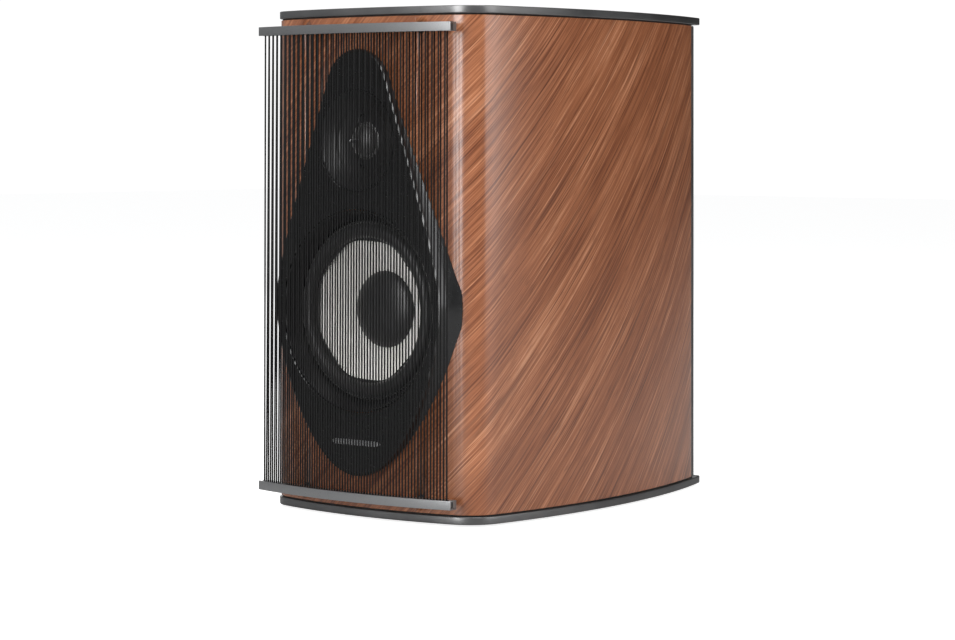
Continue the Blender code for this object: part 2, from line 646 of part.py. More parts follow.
def make_fascia():
    """Raised black fascia with a flared edge, hollowed behind to the bowed front of the shell."""
    half = fascia_outline()
    depths = [FASCIA_DEPTH * share for share in (0.0, 0.35, 0.62, 0.82, 1.0)]
    mesh = bpy.data.meshes.new("fascia")
    build = bmesh.new()
    rows = []
    for depth in depths:
        y = FASCIA_FRONT + depth
        rows.append([build.verts.new((p.x, y, p.y)) for p in flared_ring(half, depth)])
    build.faces.new(rows[0])
    build.faces.new(list(reversed(rows[-1])))
    for near, far in zip(rows, rows[1:]):
        for i in range(len(near)):
            j = (i + 1) % len(near)
            build.faces.new((near[i], near[j], far[j], far[i]))
    bmesh.ops.recalc_face_normals(build, faces=build.faces)
    build.to_mesh(mesh)
    build.free()
    fascia = place("fascia", mesh, "black_metal")
    behind = prism("shell_form", lute_outline(WOOD_INSET - GAP, WOOD_DEPTH), 0.0, HEIGHT, None)
    cut(fascia, as_cutter(behind))
    openings = (("fascia_woofer_hole", WOOFER_FLANGE_RADIUS + 0.0009, WOOFER_Z, 40),
                ("fascia_tweeter_hole", TWEETER_MOUTH_RADIUS + 0.0008, TWEETER_Z, 32))
    for name, radius, z, steps in openings:
        cut(fascia, as_cutter(cylinder(name, radius, -0.02, 0.06, "black_metal", 0, z, steps)))


def make_badge():
    """Small blank metal badge near the bottom of the fascia."""
    end, half = BADGE_LENGTH / 2, BADGE_HEIGHT / 2
    step = end - BADGE_POINT
    outline = [(-step, -half), (step, -half), (end, 0.0), (step, half), (-step, half), (-end, 0.0)]
    prism("badge", outline, -FASCIA_FRONT + GAP, -FASCIA_FRONT + GAP + BADGE_THICK, "steel",
          (0, 0, FASCIA_BOTTOM_Z + BADGE_RISE), (math.radians(90), 0, 0))


# ---------------------------------------------------------------- woofer

def make_woofer():
    """Woofer: basket, clamped surround, paper cone, spider, voice coil and ferrite motor."""
    x, z = 0, WOOFER_Z
    flange = WOOFER_FLANGE_Y
    lip = flange - GAP - SURROUND_THICK
    edge = lip + SURROUND_THICK + 2 * GAP
    neck = edge + CONE_DEPTH
    shelf_y = neck + 0.0042
    plate_y = shelf_y + COIL_TRAVEL + 0.0020
    basket_back = plate_y - GAP
    shelf_r = BASKET_SHELF_RADIUS
    shelf_bore = shelf_r - BASKET_WALL
    basket = turned("woofer_basket", [
        (WOOFER_FLANGE_RADIUS, flange), (WOOFER_FLANGE_RADIUS, flange + WOOFER_FLANGE_THICK),
        (WOOFER_BODY_RADIUS, flange + WOOFER_FLANGE_THICK), (WOOFER_BODY_RADIUS, flange + 0.008),
        (shelf_r, shelf_y), (shelf_r, basket_back), (0.026, basket_back), (0.026, basket_back - 0.002),
        (shelf_bore, basket_back - 0.002), (shelf_bore, shelf_y - 0.001),
        (WOOFER_BODY_RADIUS - BASKET_WALL, flange + 0.007), (WOOFER_BODY_RADIUS - BASKET_WALL, flange),
    ], "black_metal", x, z, 32)
    for index in range(4):
        angle = math.tau * (index + 0.5) / 4
        reach = WOOFER_BODY_RADIUS - 0.008
        place_of = (x + reach * math.cos(angle), flange + 0.021, z + reach * math.sin(angle))
        window = box("basket_window", (0.030, 0.016, 0.034), place_of, None)
        window.rotation_euler = (0, -angle, 0)
        cut(basket, as_cutter(window))
    ring("woofer_gasket", SURROUND_RADIUS - 0.0002, SURROUND_RADIUS - 0.0013, lip - GAP - 0.0008, lip - GAP,
         "rubber", x, z, 28)
    turned("woofer_trim", [
        (WOOFER_FLANGE_RADIUS + 0.0003, FASCIA_FRONT + 0.0008), (WOOFER_FLANGE_RADIUS + 0.0003, flange - GAP),
        (SURROUND_RADIUS + 0.0004, flange - GAP), (SURROUND_RADIUS + 0.0004, flange - 0.0040),
        (WOOFER_FLANGE_RADIUS - 0.0008, FASCIA_FRONT + 0.0008),
    ], "black_metal", x, z, 40)
    make_surround(x, z, lip)
    wall = CONE_THICK
    middle = ((CONE_RADIUS + CONE_NECK_RADIUS) / 2, edge + 0.46 * CONE_DEPTH)
    turned("woofer_cone", [
        (CONE_RADIUS, edge), (CONE_RADIUS, edge + wall), (middle[0], middle[1] + wall),
        (CONE_NECK_RADIUS + 0.0004, neck + wall), (CONE_NECK_RADIUS + 0.0004, neck - 0.0004),
        (middle[0], middle[1] - 0.0004),
    ], "paper", x, z, 32)
    cap_edge = cone_front(CAP_RADIUS, edge) - GAP
    cap_rise = [(CAP_RADIUS * k / 4, cap_edge - CAP_HEIGHT * (1 - (k / 4) ** 2)) for k in range(5)]
    inner = [(r * 0.97, y + 0.0009) for r, y in reversed(cap_rise)]
    inner[0] = (CAP_RADIUS - 0.0016, cap_edge)
    turned("dust_cap", cap_rise + inner, "black_plastic", x, z, 24)
    ring("woofer_voice_coil", CONE_NECK_RADIUS, CONE_NECK_RADIUS - 0.0008, neck - 0.002, neck + 0.024,
         "copper", x, z, 24)
    spider_y = shelf_y - 0.0022
    inner_r = CONE_NECK_RADIUS + GAP
    turned("spider", [
        (shelf_bore - 0.0005, spider_y), (shelf_bore - 0.0005, spider_y + 0.0008),
        (0.034, spider_y - 0.0002), (0.028, spider_y + 0.0018),
        (0.022, spider_y - 0.0002), (inner_r, spider_y + 0.0012), (inner_r, spider_y + 0.0002),
        (0.022, spider_y - 0.0012), (0.028, spider_y + 0.0008), (0.034, spider_y - 0.0012),
    ], "film", x, z, 24)
    gap_radius = CONE_NECK_RADIUS + 0.0010
    ring("woofer_front_plate", MAGNET_RADIUS - 0.003, gap_radius, plate_y, plate_y + POLE_PLATE_THICK,
         "steel", x, z, 24)
    magnet = plate_y + POLE_PLATE_THICK + GAP
    ring("woofer_magnet", MAGNET_RADIUS, 0.024, magnet, magnet + MAGNET_THICK, "ferrite", x, z, 32)
    back = magnet + MAGNET_THICK + GAP
    pole = CONE_NECK_RADIUS - 0.0018
    turned("woofer_pole_plate", [
        (pole, plate_y), (pole, back), (MAGNET_RADIUS - 0.003, back), (MAGNET_RADIUS - 0.003, back + 0.006),
        (0.005, back + 0.006),
        (0.005, plate_y),
    ], "steel", x, z, 24)


def cone_front(radius, edge):
    """Depth of the cone's front surface at a radius, along its two straight runs."""
    middle_radius = (CONE_RADIUS + CONE_NECK_RADIUS) / 2
    middle_depth = edge + 0.46 * CONE_DEPTH - 0.0004
    if radius > middle_radius:
        share = (CONE_RADIUS - radius) / (CONE_RADIUS - middle_radius)
        return edge + share * (middle_depth - edge)
    share = (middle_radius - radius) / (middle_radius - CONE_NECK_RADIUS)
    return middle_depth + share * (edge + CONE_DEPTH - 0.0004 - middle_depth)


def make_surround(x, z, lip):
    """Half-roll rubber surround between the basket's flange and the cone's edge."""
    crest = (SURROUND_RADIUS - 0.0015 + CONE_RADIUS) / 2
    half = (SURROUND_RADIUS - 0.0015 - CONE_RADIUS) / 2
    outer_side = []
    inner_side = []
    for k in range(7):
        angle = math.pi * k / 6
        outer_side.append((crest + half * math.cos(angle), lip - SURROUND_HEIGHT * math.sin(angle)))
        shrink = half - SURROUND_THICK
        inner_side.append((crest + shrink * math.cos(angle), lip + SURROUND_THICK
                           - SURROUND_HEIGHT * math.sin(angle)))
    back = lip + SURROUND_THICK
    profile = [(SURROUND_RADIUS - 0.0002, lip), (SURROUND_RADIUS - 0.0002, back)] + inner_side
    profile += [(CONE_RADIUS - 0.0020, back), (CONE_RADIUS - 0.0020, lip)] + outer_side[::-1]
    turned("woofer_surround", profile, "rubber", x, z, 28)


# ---------------------------------------------------------------- tweeter

def make_tweeter():
    """Tweeter: dished waveguide, silk dome, neodymium motor, rear chamber and bridge."""
    x, z = 0, TWEETER_Z
    mouth = FASCIA_FRONT + 0.0003
    span = TWEETER_MOUTH_RADIUS - TWEETER_THROAT_RADIUS
    drop = TWEETER_THROAT_Y - mouth
    shares = ((0.22, 0.09), (0.50, 0.40), (0.79, 0.79))
    dish = [(TWEETER_THROAT_RADIUS + across * span, TWEETER_THROAT_Y - rise * drop)
            for across, rise in shares]
    turned("tweeter_waveguide", [
        (TWEETER_MOUTH_RADIUS + 0.0003, mouth), (TWEETER_MOUTH_RADIUS + 0.0003, TWEETER_FLANGE_Y),
        (TWEETER_FLANGE_RADIUS, TWEETER_FLANGE_Y), (TWEETER_FLANGE_RADIUS, TWEETER_FLANGE_BACK),
        (TWEETER_THROAT_RADIUS + 0.004, TWEETER_FLANGE_BACK),
        (TWEETER_THROAT_RADIUS + 0.004, TWEETER_THROAT_Y + 0.0016),
        (TWEETER_THROAT_RADIUS, TWEETER_THROAT_Y + 0.0016), (TWEETER_THROAT_RADIUS, TWEETER_THROAT_Y),
    ] + dish + [(TWEETER_MOUTH_RADIUS, mouth)], "black_metal", x, z, 28)
    base = TWEETER_THROAT_Y + 0.0002
    rise = [(DOME_RADIUS * math.sin(math.radians(a)), base - DOME_HEIGHT * math.cos(math.radians(a)))
            for a in (0, 30, 60, 90)]
    lip = TWEETER_THROAT_RADIUS - 0.0003
    inside = [(r * 0.96, y + 0.0005) for r, y in reversed(rise)]
    turned("tweeter_dome", rise + [
        (DOME_RADIUS + 0.0010, base - 0.0007), (lip, base), (lip, base + 0.0005),
        (DOME_RADIUS + 0.0010, base),
        (DOME_RADIUS + 0.0002, base + 0.0004), (DOME_RADIUS + 0.0002, base + 0.006),
        (DOME_RADIUS - 0.0004, base + 0.006),
    ] + inside, "silk", x, z, 24)
    motor = TWEETER_FLANGE_BACK + GAP
    turned("tweeter_motor", [
        (TWEETER_MAGNET_RADIUS, motor), (TWEETER_MAGNET_RADIUS, motor + TWEETER_MAGNET_THICK),
        (0.004, motor + TWEETER_MAGNET_THICK), (0.004, motor + 0.001), (DOME_RADIUS - 0.0012, motor + 0.001),
        (DOME_RADIUS - 0.0012, motor + 0.010), (DOME_RADIUS + 0.0012, motor + 0.010),
        (DOME_RADIUS + 0.0012, motor),
    ], "ferrite", x, z, 24)
    chamber = motor + TWEETER_MAGNET_THICK + GAP
    turned("tweeter_chamber", [
        (CHAMBER_RADIUS, chamber), (CHAMBER_RADIUS, chamber + CHAMBER_DEPTH - 0.006),
        (CHAMBER_RADIUS - 0.006, chamber + CHAMBER_DEPTH), (0, chamber + CHAMBER_DEPTH),
        (0, chamber + CHAMBER_DEPTH - 0.0025), (CHAMBER_RADIUS - 0.007, chamber + CHAMBER_DEPTH - 0.0025),
        (CHAMBER_RADIUS - 0.0025, chamber + CHAMBER_DEPTH - 0.007), (CHAMBER_RADIUS - 0.0025, chamber),
    ], "black_plastic", x, z, 20)
    slope = [(TWEETER_THROAT_RADIUS, TWEETER_THROAT_Y)] + dish + [(TWEETER_MOUTH_RADIUS, mouth)]
    seat = depth_on(slope, BRIDGE_FOOT_RADIUS + BRIDGE_WIRE_RADIUS)
    make_bridge(x, z, base - DOME_HEIGHT, seat - BRIDGE_SEAT)


def depth_on(outline, radius):
    """Depth of a turned outline of (radius, depth) points at a radius."""
    for (r0, y0), (r1, y1) in zip(outline, outline[1:]):
        if radius <= r1:
            return y0 + (y1 - y0) * (radius - r0) / (r1 - r0)
    return outline[-1][1]


def make_bridge(x, z, apex, end):
    """Thin arched bridge over the dome, with a small pointed tip at its middle."""
    crest = apex - DOME_TRAVEL - 0.0022
    curve = bpy.data.curves.new("tweeter_bridge", "CURVE")
    curve.dimensions = "3D"
    curve.bevel_depth = BRIDGE_WIRE_RADIUS
    curve.bevel_resolution = 1
    curve.use_fill_caps = True
    spline = curve.splines.new("POLY")
    count = 12
    spline.points.add(count)
    for index in range(count + 1):
        angle = math.pi * index / count
        reach = BRIDGE_FOOT_RADIUS * math.cos(angle)
        rise = math.sin(angle) ** 0.8
        depth = end + (crest - end) * rise
        spline.points[index].co = (0, depth, reach, 1)
    wire = bpy.data.objects.new("bridge_wire", curve)
    parts.objects.link(wire)
    bpy.context.view_layer.update()
    mesh = bpy.data.meshes.new_from_object(wire.evaluated_get(bpy.context.evaluated_depsgraph_get()))
    bpy.data.objects.remove(wire, do_unlink=True)
    weld = bmesh.new()
    weld.from_mesh(mesh)
    bmesh.ops.remove_doubles(weld, verts=weld.verts, dist=0.00001)
    bmesh.ops.recalc_face_normals(weld, faces=weld.faces)
    weld.to_mesh(mesh)
    weld.free()
    bridge = place("tweeter_bridge", mesh, "steel", (x, 0, z))
    tip = turned("bridge_tip", [
        (0, crest - 0.0085), (0.0009, crest - 0.0075), (0.0024, crest - 0.0005), (0.0016, crest + 0.0012),
        (0, crest + 0.0014),
    ], "steel", x, z, 16)
    join(bridge, as_cutter(tip))


# ---------------------------------------------------------------- crossover

def make_crossover():
    """Crossover board on the bottom board, with two coils, two capacitors and a resistor."""
    board_y = WOOD_DEPTH - 0.096
    board_z = CAVITY_BOTTOM + GAP
    board = box("crossover_board", (0.110, 0.120, 0.003), (0, board_y, board_z + 0.0015), "board")
    soften(board, 0.0005)
    top = board_z + 0.003 + GAP
    coils = (("woofer_inductor", -0.024, board_y - 0.030, 0.021, 0.011, 0.020),
             ("tweeter_inductor", 0.032, board_y - 0.035, 0.014, 0.008, 0.014))
    for name, x, y, outer, inner, tall in coils:
        outline = arc_points((0, 0), outer, 0, math.tau, 24)[:-1]
        coil = prism(name, outline, top, top + tall, "copper", (x, y, 0))
        hole = prism(name + "_hole", arc_points((0, 0), inner, 0, math.tau, 24)[:-1], top - 0.01,
                     top + tall + 0.01, None, (x, y, 0))
        cut(coil, as_cutter(hole))
    cans = (("woofer_capacitor", -0.026, board_y + 0.027, 0.013, 0.044),
            ("tweeter_capacitor", 0.028, board_y + 0.027, 0.011, 0.038))
    for name, x, y, radius, long in cans:
        mesh = bpy.data.meshes.new(name)
        build = bmesh.new()
        bmesh.ops.create_cone(build, cap_ends=True, segments=20, radius1=radius, radius2=radius, depth=long)
        build.to_mesh(mesh)
        build.free()
        place(name, mesh, "film", (x, y, top + radius), (0, math.radians(90), 0))
    resistor = box("crossover_resistor", (0.044, 0.009, 0.009), (0.028, board_y - 0.005, top + 0.0045), "paper")
    soften(resistor, 0.0008)


# ---------------------------------------------------------------- grille

def bar_outline(front, back, half_width):
    """Plan band of a bowed bar between two depths behind its front face."""
    middle = GRILLE_FRONT + GRILLE_RADIUS
    band = []
    for depth, order in ((front, 1), (back, -1)):
        radius = GRILLE_RADIUS - depth
        end = math.asin(half_width / GRILLE_RADIUS)
        count = 16
        row = [-end + 2 * end * i / count for i in range(count + 1)]
        band += [(radius * math.sin(a), middle - radius * math.cos(a)) for a in row[::order]]
    return band


def make_bar(row, low, web_low, rail_low, rail_high):
    """One bowed bar: an angled face strip in front of a rail with two pegs."""
    high = low + BAR_HEIGHT
    face = prism(f"grille_{row}_face", bar_outline(0.0, FACE_THICK, GRILLE_HALF_WIDTH), low, high, "graphite")
    web = prism(f"{row}_web", bar_outline(FACE_THICK * 0.5, BAR_DEPTH, GRILLE_HALF_WIDTH),
                web_low, web_low + WEB_THICK, None)
    join(face, as_cutter(web))
    start = FACE_THICK + CORD_SLOT
    rail = prism(f"grille_{row}_rail", bar_outline(start, BAR_DEPTH, GRILLE_HALF_WIDTH), rail_low, rail_high,
                 "graphite")
    for side in (-1, 1):
        back = bar_back(PEG_X) - 0.001
        peg = cylinder(f"{row}_peg", PEG_RADIUS, back, socket_front() + PEG_GRIP - GAP, "steel",
                       side * PEG_X, low + BAR_HEIGHT / 2, 10)
        join(rail, as_cutter(peg))
    return rail


def bar_back(x):
    """Depth of a bar's rear face at a distance from the middle."""
    return GRILLE_FRONT + GRILLE_RADIUS - math.sqrt((GRILLE_RADIUS - BAR_DEPTH) ** 2 - x ** 2)


def make_bars():
    """Two bowed bars, above and below the fascia, that stretch the cord between them."""
    web = WEB_THICK + GAP
    high = TOP_BAR_Z + BAR_HEIGHT
    rail = make_bar("top", TOP_BAR_Z, high - WEB_THICK, TOP_BAR_Z, high - web)
    slot_front = FACE_THICK + CORD_SLOT + TONGUE_THICK
    slot_half = GRILLE_HALF_WIDTH - 0.004
    slot = bar_outline(slot_front, slot_front + CORD_SLOT, slot_half)
    cut(rail, as_cutter(prism("cord_slot", slot, TOP_BAR_Z - 0.01, high + 0.01, None)))
    notch = bar_outline(FACE_THICK, slot_front + CORD_SLOT * 0.5, slot_half)
    cut(rail, as_cutter(prism("tongue_top", notch, tongue_top(), high + 0.01, None)))
    make_bar("bottom", BOTTOM_BAR_Z, BOTTOM_BAR_Z, BOTTOM_BAR_Z + web, BOTTOM_BAR_Z + BAR_HEIGHT)


def tongue_top():
    """Level of the tongue that the cord is looped over, under the top bar's web."""
    return TOP_BAR_Z + BAR_HEIGHT - WEB_THICK - CORD_DIAMETER - 5 * GAP


def make_cord():
    """One elastic cord, laced down the front row and up the rear row of every loop."""
    half = CORD_DIAMETER / 2
    front_depth = FACE_THICK + CORD_SLOT / 2
    rear_depth = FACE_THICK + CORD_SLOT * 1.5 + TONGUE_THICK
    top = tongue_top() + half + GAP
    bottom = BOTTOM_BAR_Z + WEB_THICK + half + 3 * GAP
    reach = math.asin((GRILLE_HALF_WIDTH - 0.0045) / GRILLE_RADIUS)
    pitch = 2 * reach / (LOOP_COUNT - 0.5)
    middle = GRILLE_FRONT + GRILLE_RADIUS

    def at(angle, depth, z):
        radius = GRILLE_RADIUS - depth
        return (radius * math.sin(angle), middle - radius * math.cos(angle) - CENTRE_Y, z)

    points = []
    for index in range(LOOP_COUNT):
        angle = -reach + pitch * (index + 0.25)
        left = angle - pitch / 4
        right = angle + pitch / 4
        points.append(at(left, front_depth, bottom))
        points.append(at(angle, front_depth, top - half))
        points.append(at(angle, front_depth + 0.4 * half, top))
        points.append(at(angle, rear_depth - 0.4 * half, top))
        points.append(at(angle, rear_depth, top - half))
        points.append(at(right, front_depth, bottom))
    curve = bpy.data.curves.new("grille_cord", "CURVE")
    curve.dimensions = "3D"
    curve.bevel_depth = half
    curve.bevel_resolution = 0
    curve.use_fill_caps = True
    spline = curve.splines.new("POLY")
    spline.points.add(len(points) - 1)
    for point, co in zip(spline.points, points):
        point.co = (*co, 1)
    cord = bpy.data.objects.new("grille_cord", curve)
    parts.objects.link(cord)
    curve.materials.append(material("cord"))


# ---------------------------------------------------------------- build

make_plates()
make_gaskets()
make_pads()
make_shell()
make_sockets()
make_brace()
make_lining()
make_rear_panel()
make_panel_screws()
make_port()
make_terminals()
make_fascia()
make_badge()
make_woofer()
make_tweeter()
make_crossover()
make_bars()
make_cord()
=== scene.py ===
"""Looks of a two-way bookshelf loudspeaker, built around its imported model."""

import math

import bmesh
import bpy
import numpy as np
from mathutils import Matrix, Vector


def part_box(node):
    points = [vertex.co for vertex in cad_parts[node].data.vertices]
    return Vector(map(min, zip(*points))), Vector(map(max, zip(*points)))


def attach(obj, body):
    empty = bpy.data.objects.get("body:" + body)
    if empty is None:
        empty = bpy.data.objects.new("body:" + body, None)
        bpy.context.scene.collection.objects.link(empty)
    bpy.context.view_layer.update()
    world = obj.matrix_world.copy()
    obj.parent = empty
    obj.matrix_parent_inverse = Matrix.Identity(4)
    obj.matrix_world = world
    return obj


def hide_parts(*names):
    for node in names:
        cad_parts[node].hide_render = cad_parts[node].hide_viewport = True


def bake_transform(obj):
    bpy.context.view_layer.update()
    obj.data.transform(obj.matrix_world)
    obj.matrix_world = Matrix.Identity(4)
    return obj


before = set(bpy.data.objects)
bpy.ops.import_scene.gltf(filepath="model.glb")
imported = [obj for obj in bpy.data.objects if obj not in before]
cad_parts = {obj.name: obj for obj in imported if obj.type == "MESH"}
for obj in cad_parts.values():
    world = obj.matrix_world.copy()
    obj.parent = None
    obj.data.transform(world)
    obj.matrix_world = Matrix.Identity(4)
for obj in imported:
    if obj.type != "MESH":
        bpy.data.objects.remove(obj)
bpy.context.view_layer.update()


# ------------------------ studio
# A pale sweep of floor under a white sky, with soft boxes for the long highlights.
# The camera stands low and far off to the right of the front.

def placed(name, data):
    """Object for a lamp, a camera or a mesh, linked to the scene."""
    made = bpy.data.objects.new(name, data)
    bpy.context.scene.collection.objects.link(made)
    return made


def plane_facing(name, centre, target, width, height, power):
    """Rectangular soft box at a centre, turned so that its face looks at the target."""
    lamp = bpy.data.lights.new(name, "AREA")
    lamp.shape = "RECTANGLE"
    lamp.size = width
    lamp.size_y = height
    lamp.energy = power
    shown = placed(name, lamp)
    shown.location = centre
    aim = np.array(target) - np.array(centre)
    turn = math.atan2(-aim[0], aim[1])
    tip = math.atan2(aim[2], math.hypot(aim[0], aim[1]))
    shown.rotation_euler = (math.pi / 2 + tip, 0.0, turn)


def around(azimuth, distance, height):
    """Point at an azimuth from the front, counted towards +X, at a distance and a height."""
    angle = math.radians(azimuth)
    return (distance * math.sin(angle), -distance * math.cos(angle), height)


camera_data = bpy.data.cameras.new("portrait")
camera_data.lens = 113.1
camera_data.sensor_width = 36.0
camera_data.shift_y = -0.2016
camera_data.clip_end = 100.0
camera = placed("portrait", camera_data)
camera.location = (1.592, -1.863, 0.3024)
camera.rotation_euler = (math.radians(90), 0.0, math.radians(41))
bpy.context.scene.camera = camera
bpy.context.scene.view_settings.view_transform = "Standard"

sky = bpy.data.worlds.new("sky")
bpy.context.scene.world = sky
sky.use_nodes = True
sky_nodes = sky.node_tree.nodes
sky_links = sky.node_tree.links
sky_nodes.clear()
glow = sky_nodes.new("ShaderNodeBackground")
glow.inputs["Color"].default_value = (1.0, 1.0, 1.0, 1.0)
glow.inputs["Strength"].default_value = 1.05
dusk = sky_nodes.new("ShaderNodeBackground")
dusk.inputs["Color"].default_value = (0.96, 0.98, 1.0, 1.0)
heading = sky_nodes.new("ShaderNodeTexCoord")
facing = sky_nodes.new("ShaderNodeVectorMath")
facing.operation = "DOT_PRODUCT"
facing.inputs[1].default_value = (-0.45, -0.80, 0.40)
fade = sky_nodes.new("ShaderNodeMapRange")
for socket, number in zip(("From Min", "From Max", "To Min", "To Max"), (-0.5, 0.7, 0.02, 0.42)):
    fade.inputs[socket].default_value = number
sky_links.new(heading.outputs["Generated"], facing.inputs[0])
sky_links.new(facing.outputs["Value"], fade.inputs["Value"])
sky_links.new(fade.outputs["Result"], dusk.inputs["Strength"])
path = sky_nodes.new("ShaderNodeLightPath")
split = sky_nodes.new("ShaderNodeMixShader")
sky_out = sky_nodes.new("ShaderNodeOutputWorld")
sky_links.new(path.outputs["Is Camera Ray"], split.inputs["Fac"])
sky_links.new(dusk.outputs["Background"], split.inputs[1])
sky_links.new(glow.outputs["Background"], split.inputs[2])
sky_links.new(split.outputs["Shader"], sky_out.inputs["Surface"])

BODY_MIDDLE = (0, 0, 0.2)
plane_facing("key", around(5, 2.4, 0.82), BODY_MIDDLE, 1.05, 2.1, 71)
plane_facing("side", around(105, 2.6, 1.02), BODY_MIDDLE, 2.1, 2.0, 44)
plane_facing("fill", around(70, 2.4, 2.05), BODY_MIDDLE, 1.0, 0.9, 30)
plane_facing("rear", around(225, 2.8, 1.3), BODY_MIDDLE, 1.2, 1.4, 15)
plane_facing("overhead", (0.1, -0.8, 2.5), (0, -0.2, 0), 1.8, 1.8, 34)

floor_mesh = bpy.data.meshes.new("floor")
floor_mesh.from_pydata([(-9, -9, 0), (9, -9, 0), (9, 9, 0), (-9, 9, 0)], [], [(0, 1, 2, 3)])
floor = placed("floor", floor_mesh)
floor_paint = bpy.data.materials.new("floor")
floor_paint.use_nodes = True
floor_shader = floor_paint.node_tree.nodes["Principled BSDF"]
floor_shader.inputs["Base Color"].default_value = (0.45, 0.45, 0.45, 1.0)
floor_shader.inputs["Roughness"].default_value = 0.6
floor_shader.inputs["Specular IOR Level"].default_value = 0.2
floor_shader.inputs["Emission Color"].default_value = (1.0, 1.0, 1.0, 1.0)
floor_nodes, floor_links = floor_paint.node_tree.nodes, floor_paint.node_tree.links
seen = floor_nodes.new("ShaderNodeLightPath")
lift_white = floor_nodes.new("ShaderNodeMath")
lift_white.operation = "MULTIPLY"
lift_white.inputs[1].default_value = 0.86
floor_links.new(seen.outputs["Is Camera Ray"], lift_white.inputs[0])
floor_links.new(lift_white.outputs["Value"], floor_shader.inputs["Emission Strength"])
floor_mesh.materials.append(floor_paint)


# ------------------------ metal plates
# Two 6 mm aluminium plates, milled to a lute shape and bead-blasted before a graphite
# anodise.  Four long bolts inside the cabinet draw them onto thin rubber gaskets.

GAP = 0.0003
top_low, top_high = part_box("top_plate")
FRONT = top_low.y                    # frontmost line of the plates
PLATE_HALF = top_high.x
BOW_RADIUS = 0.387
SIDE_RADIUS = 0.640
WIDEST = 0.108                       # behind the front line
PLATE_REAR = 0.352                   # rear edge behind the front line


def lute(inset, rear, front=None, corner=0.030, fine=1):
    """Plan outline as an (n, 2) array that runs from the left rear round the front to the right.

    The half outline joins four arcs that meet smoothly: the bow about (0, R), a corner of
    radius r - inset, the side about (W / 2 - S, widest) and a small rear corner.  Where two
    arcs meet, the centre of the small one lies where circles R - r and S - r cross.
    """
    front = inset if front is None else front
    bow, side = BOW_RADIUS - front, SIDE_RADIUS - inset
    small, heel = max(corner - inset, 0.002), max(0.005 - inset, 0.002)
    bow_mid = np.array((0.0, BOW_RADIUS))
    side_mid = np.array((PLATE_HALF - SIDE_RADIUS, WIDEST))
    apart = side_mid - bow_mid
    span = np.hypot(*apart)
    along = ((bow - small) ** 2 - (side - small) ** 2 + span ** 2) / (2 * span)
    unit = apart / span
    across = math.sqrt((bow - small) ** 2 - along ** 2)
    foot = bow_mid + unit * along
    choices = [foot + across * np.array((unit[1], -unit[0])) * s for s in (-1, 1)]
    corner_mid = max(choices, key=lambda p: p[0])
    heel_y = rear - heel
    heel_mid = np.array((side_mid[0] + math.sqrt((side - heel) ** 2 - (heel_y - WIDEST) ** 2), heel_y))
    a = math.atan2(corner_mid[1] - bow_mid[1], corner_mid[0])
    b = math.atan2(corner_mid[1] - side_mid[1], corner_mid[0] - side_mid[0])
    c = math.atan2(heel_mid[1] - side_mid[1], heel_mid[0] - side_mid[0])
    arcs = ((bow_mid, bow, -math.pi / 2, a, 40), (corner_mid, small, a, b, 16),
            (side_mid, side, b, c, 48), (heel_mid, heel, c, math.pi / 2, 4))
    half = []
    for middle, radius, start, end, count in arcs:
        t = np.linspace(start, end, count * fine + 1)[:-1]
        half.append(middle + radius * np.stack((np.cos(t), np.sin(t)), 1))
    half.append(np.array([(heel_mid[0], rear)]))
    half = np.concatenate(half)
    return np.concatenate((half[:0:-1] * (-1, 1), half))


def surface(name, grid, wrap_rows=False, wrap_columns=False, caps=False, uv=None, angle=35.0):
    """Object with a quad between each four neighbours of a (rows, columns, 3) grid of points.

    A wrapped direction joins its last line to its first.  Caps close the first and the last
    row with one face each.  Doubled points at a pole are merged and faces point outwards.
    """
    rows, columns = grid.shape[:2]
    index = np.arange(rows * columns).reshape(rows, columns)
    if wrap_rows:
        index = np.concatenate((index, index[:1]), 0)
    if wrap_columns:
        index = np.concatenate((index, index[:, :1]), 1)
    quads = np.stack((index[:-1, :-1], index[:-1, 1:], index[1:, 1:], index[1:, :-1]), -1).reshape(-1, 4)
    faces = quads.tolist()
    if caps:
        faces += [np.arange(columns)[::-1].tolist(), (np.arange(columns) + (rows - 1) * columns).tolist()]
    mesh = bpy.data.meshes.new(name)
    mesh.from_pydata(grid.reshape(-1, 3).tolist(), [], faces)
    if uv is not None:
        layer = mesh.uv_layers.new(name="surface")
        corner_points = np.zeros(len(mesh.loops), dtype=np.int32)
        mesh.loops.foreach_get("vertex_index", corner_points)
        layer.data.foreach_set("uv", uv.reshape(-1, 2)[corner_points].astype(np.float32).ravel())
    return finish_mesh(name, mesh, angle)


def smooth(mesh, angle):
    """Shade smooth, with sharp edges where faces meet at more than an angle in degrees."""
    mesh.shade_smooth()
    mesh.set_sharp_from_angle(angle=math.radians(angle))


def finish_mesh(name, mesh, angle):
    """Weld, turn the faces outwards, and shade smooth up to an angle; returns the object."""
    weld = bmesh.new()
    weld.from_mesh(mesh)
    bmesh.ops.remove_doubles(weld, verts=weld.verts, dist=0.000001)
    bmesh.ops.recalc_face_normals(weld, faces=weld.faces)
    weld.to_mesh(mesh)
    weld.free()
    smooth(mesh, angle)
    return placed(name, mesh)


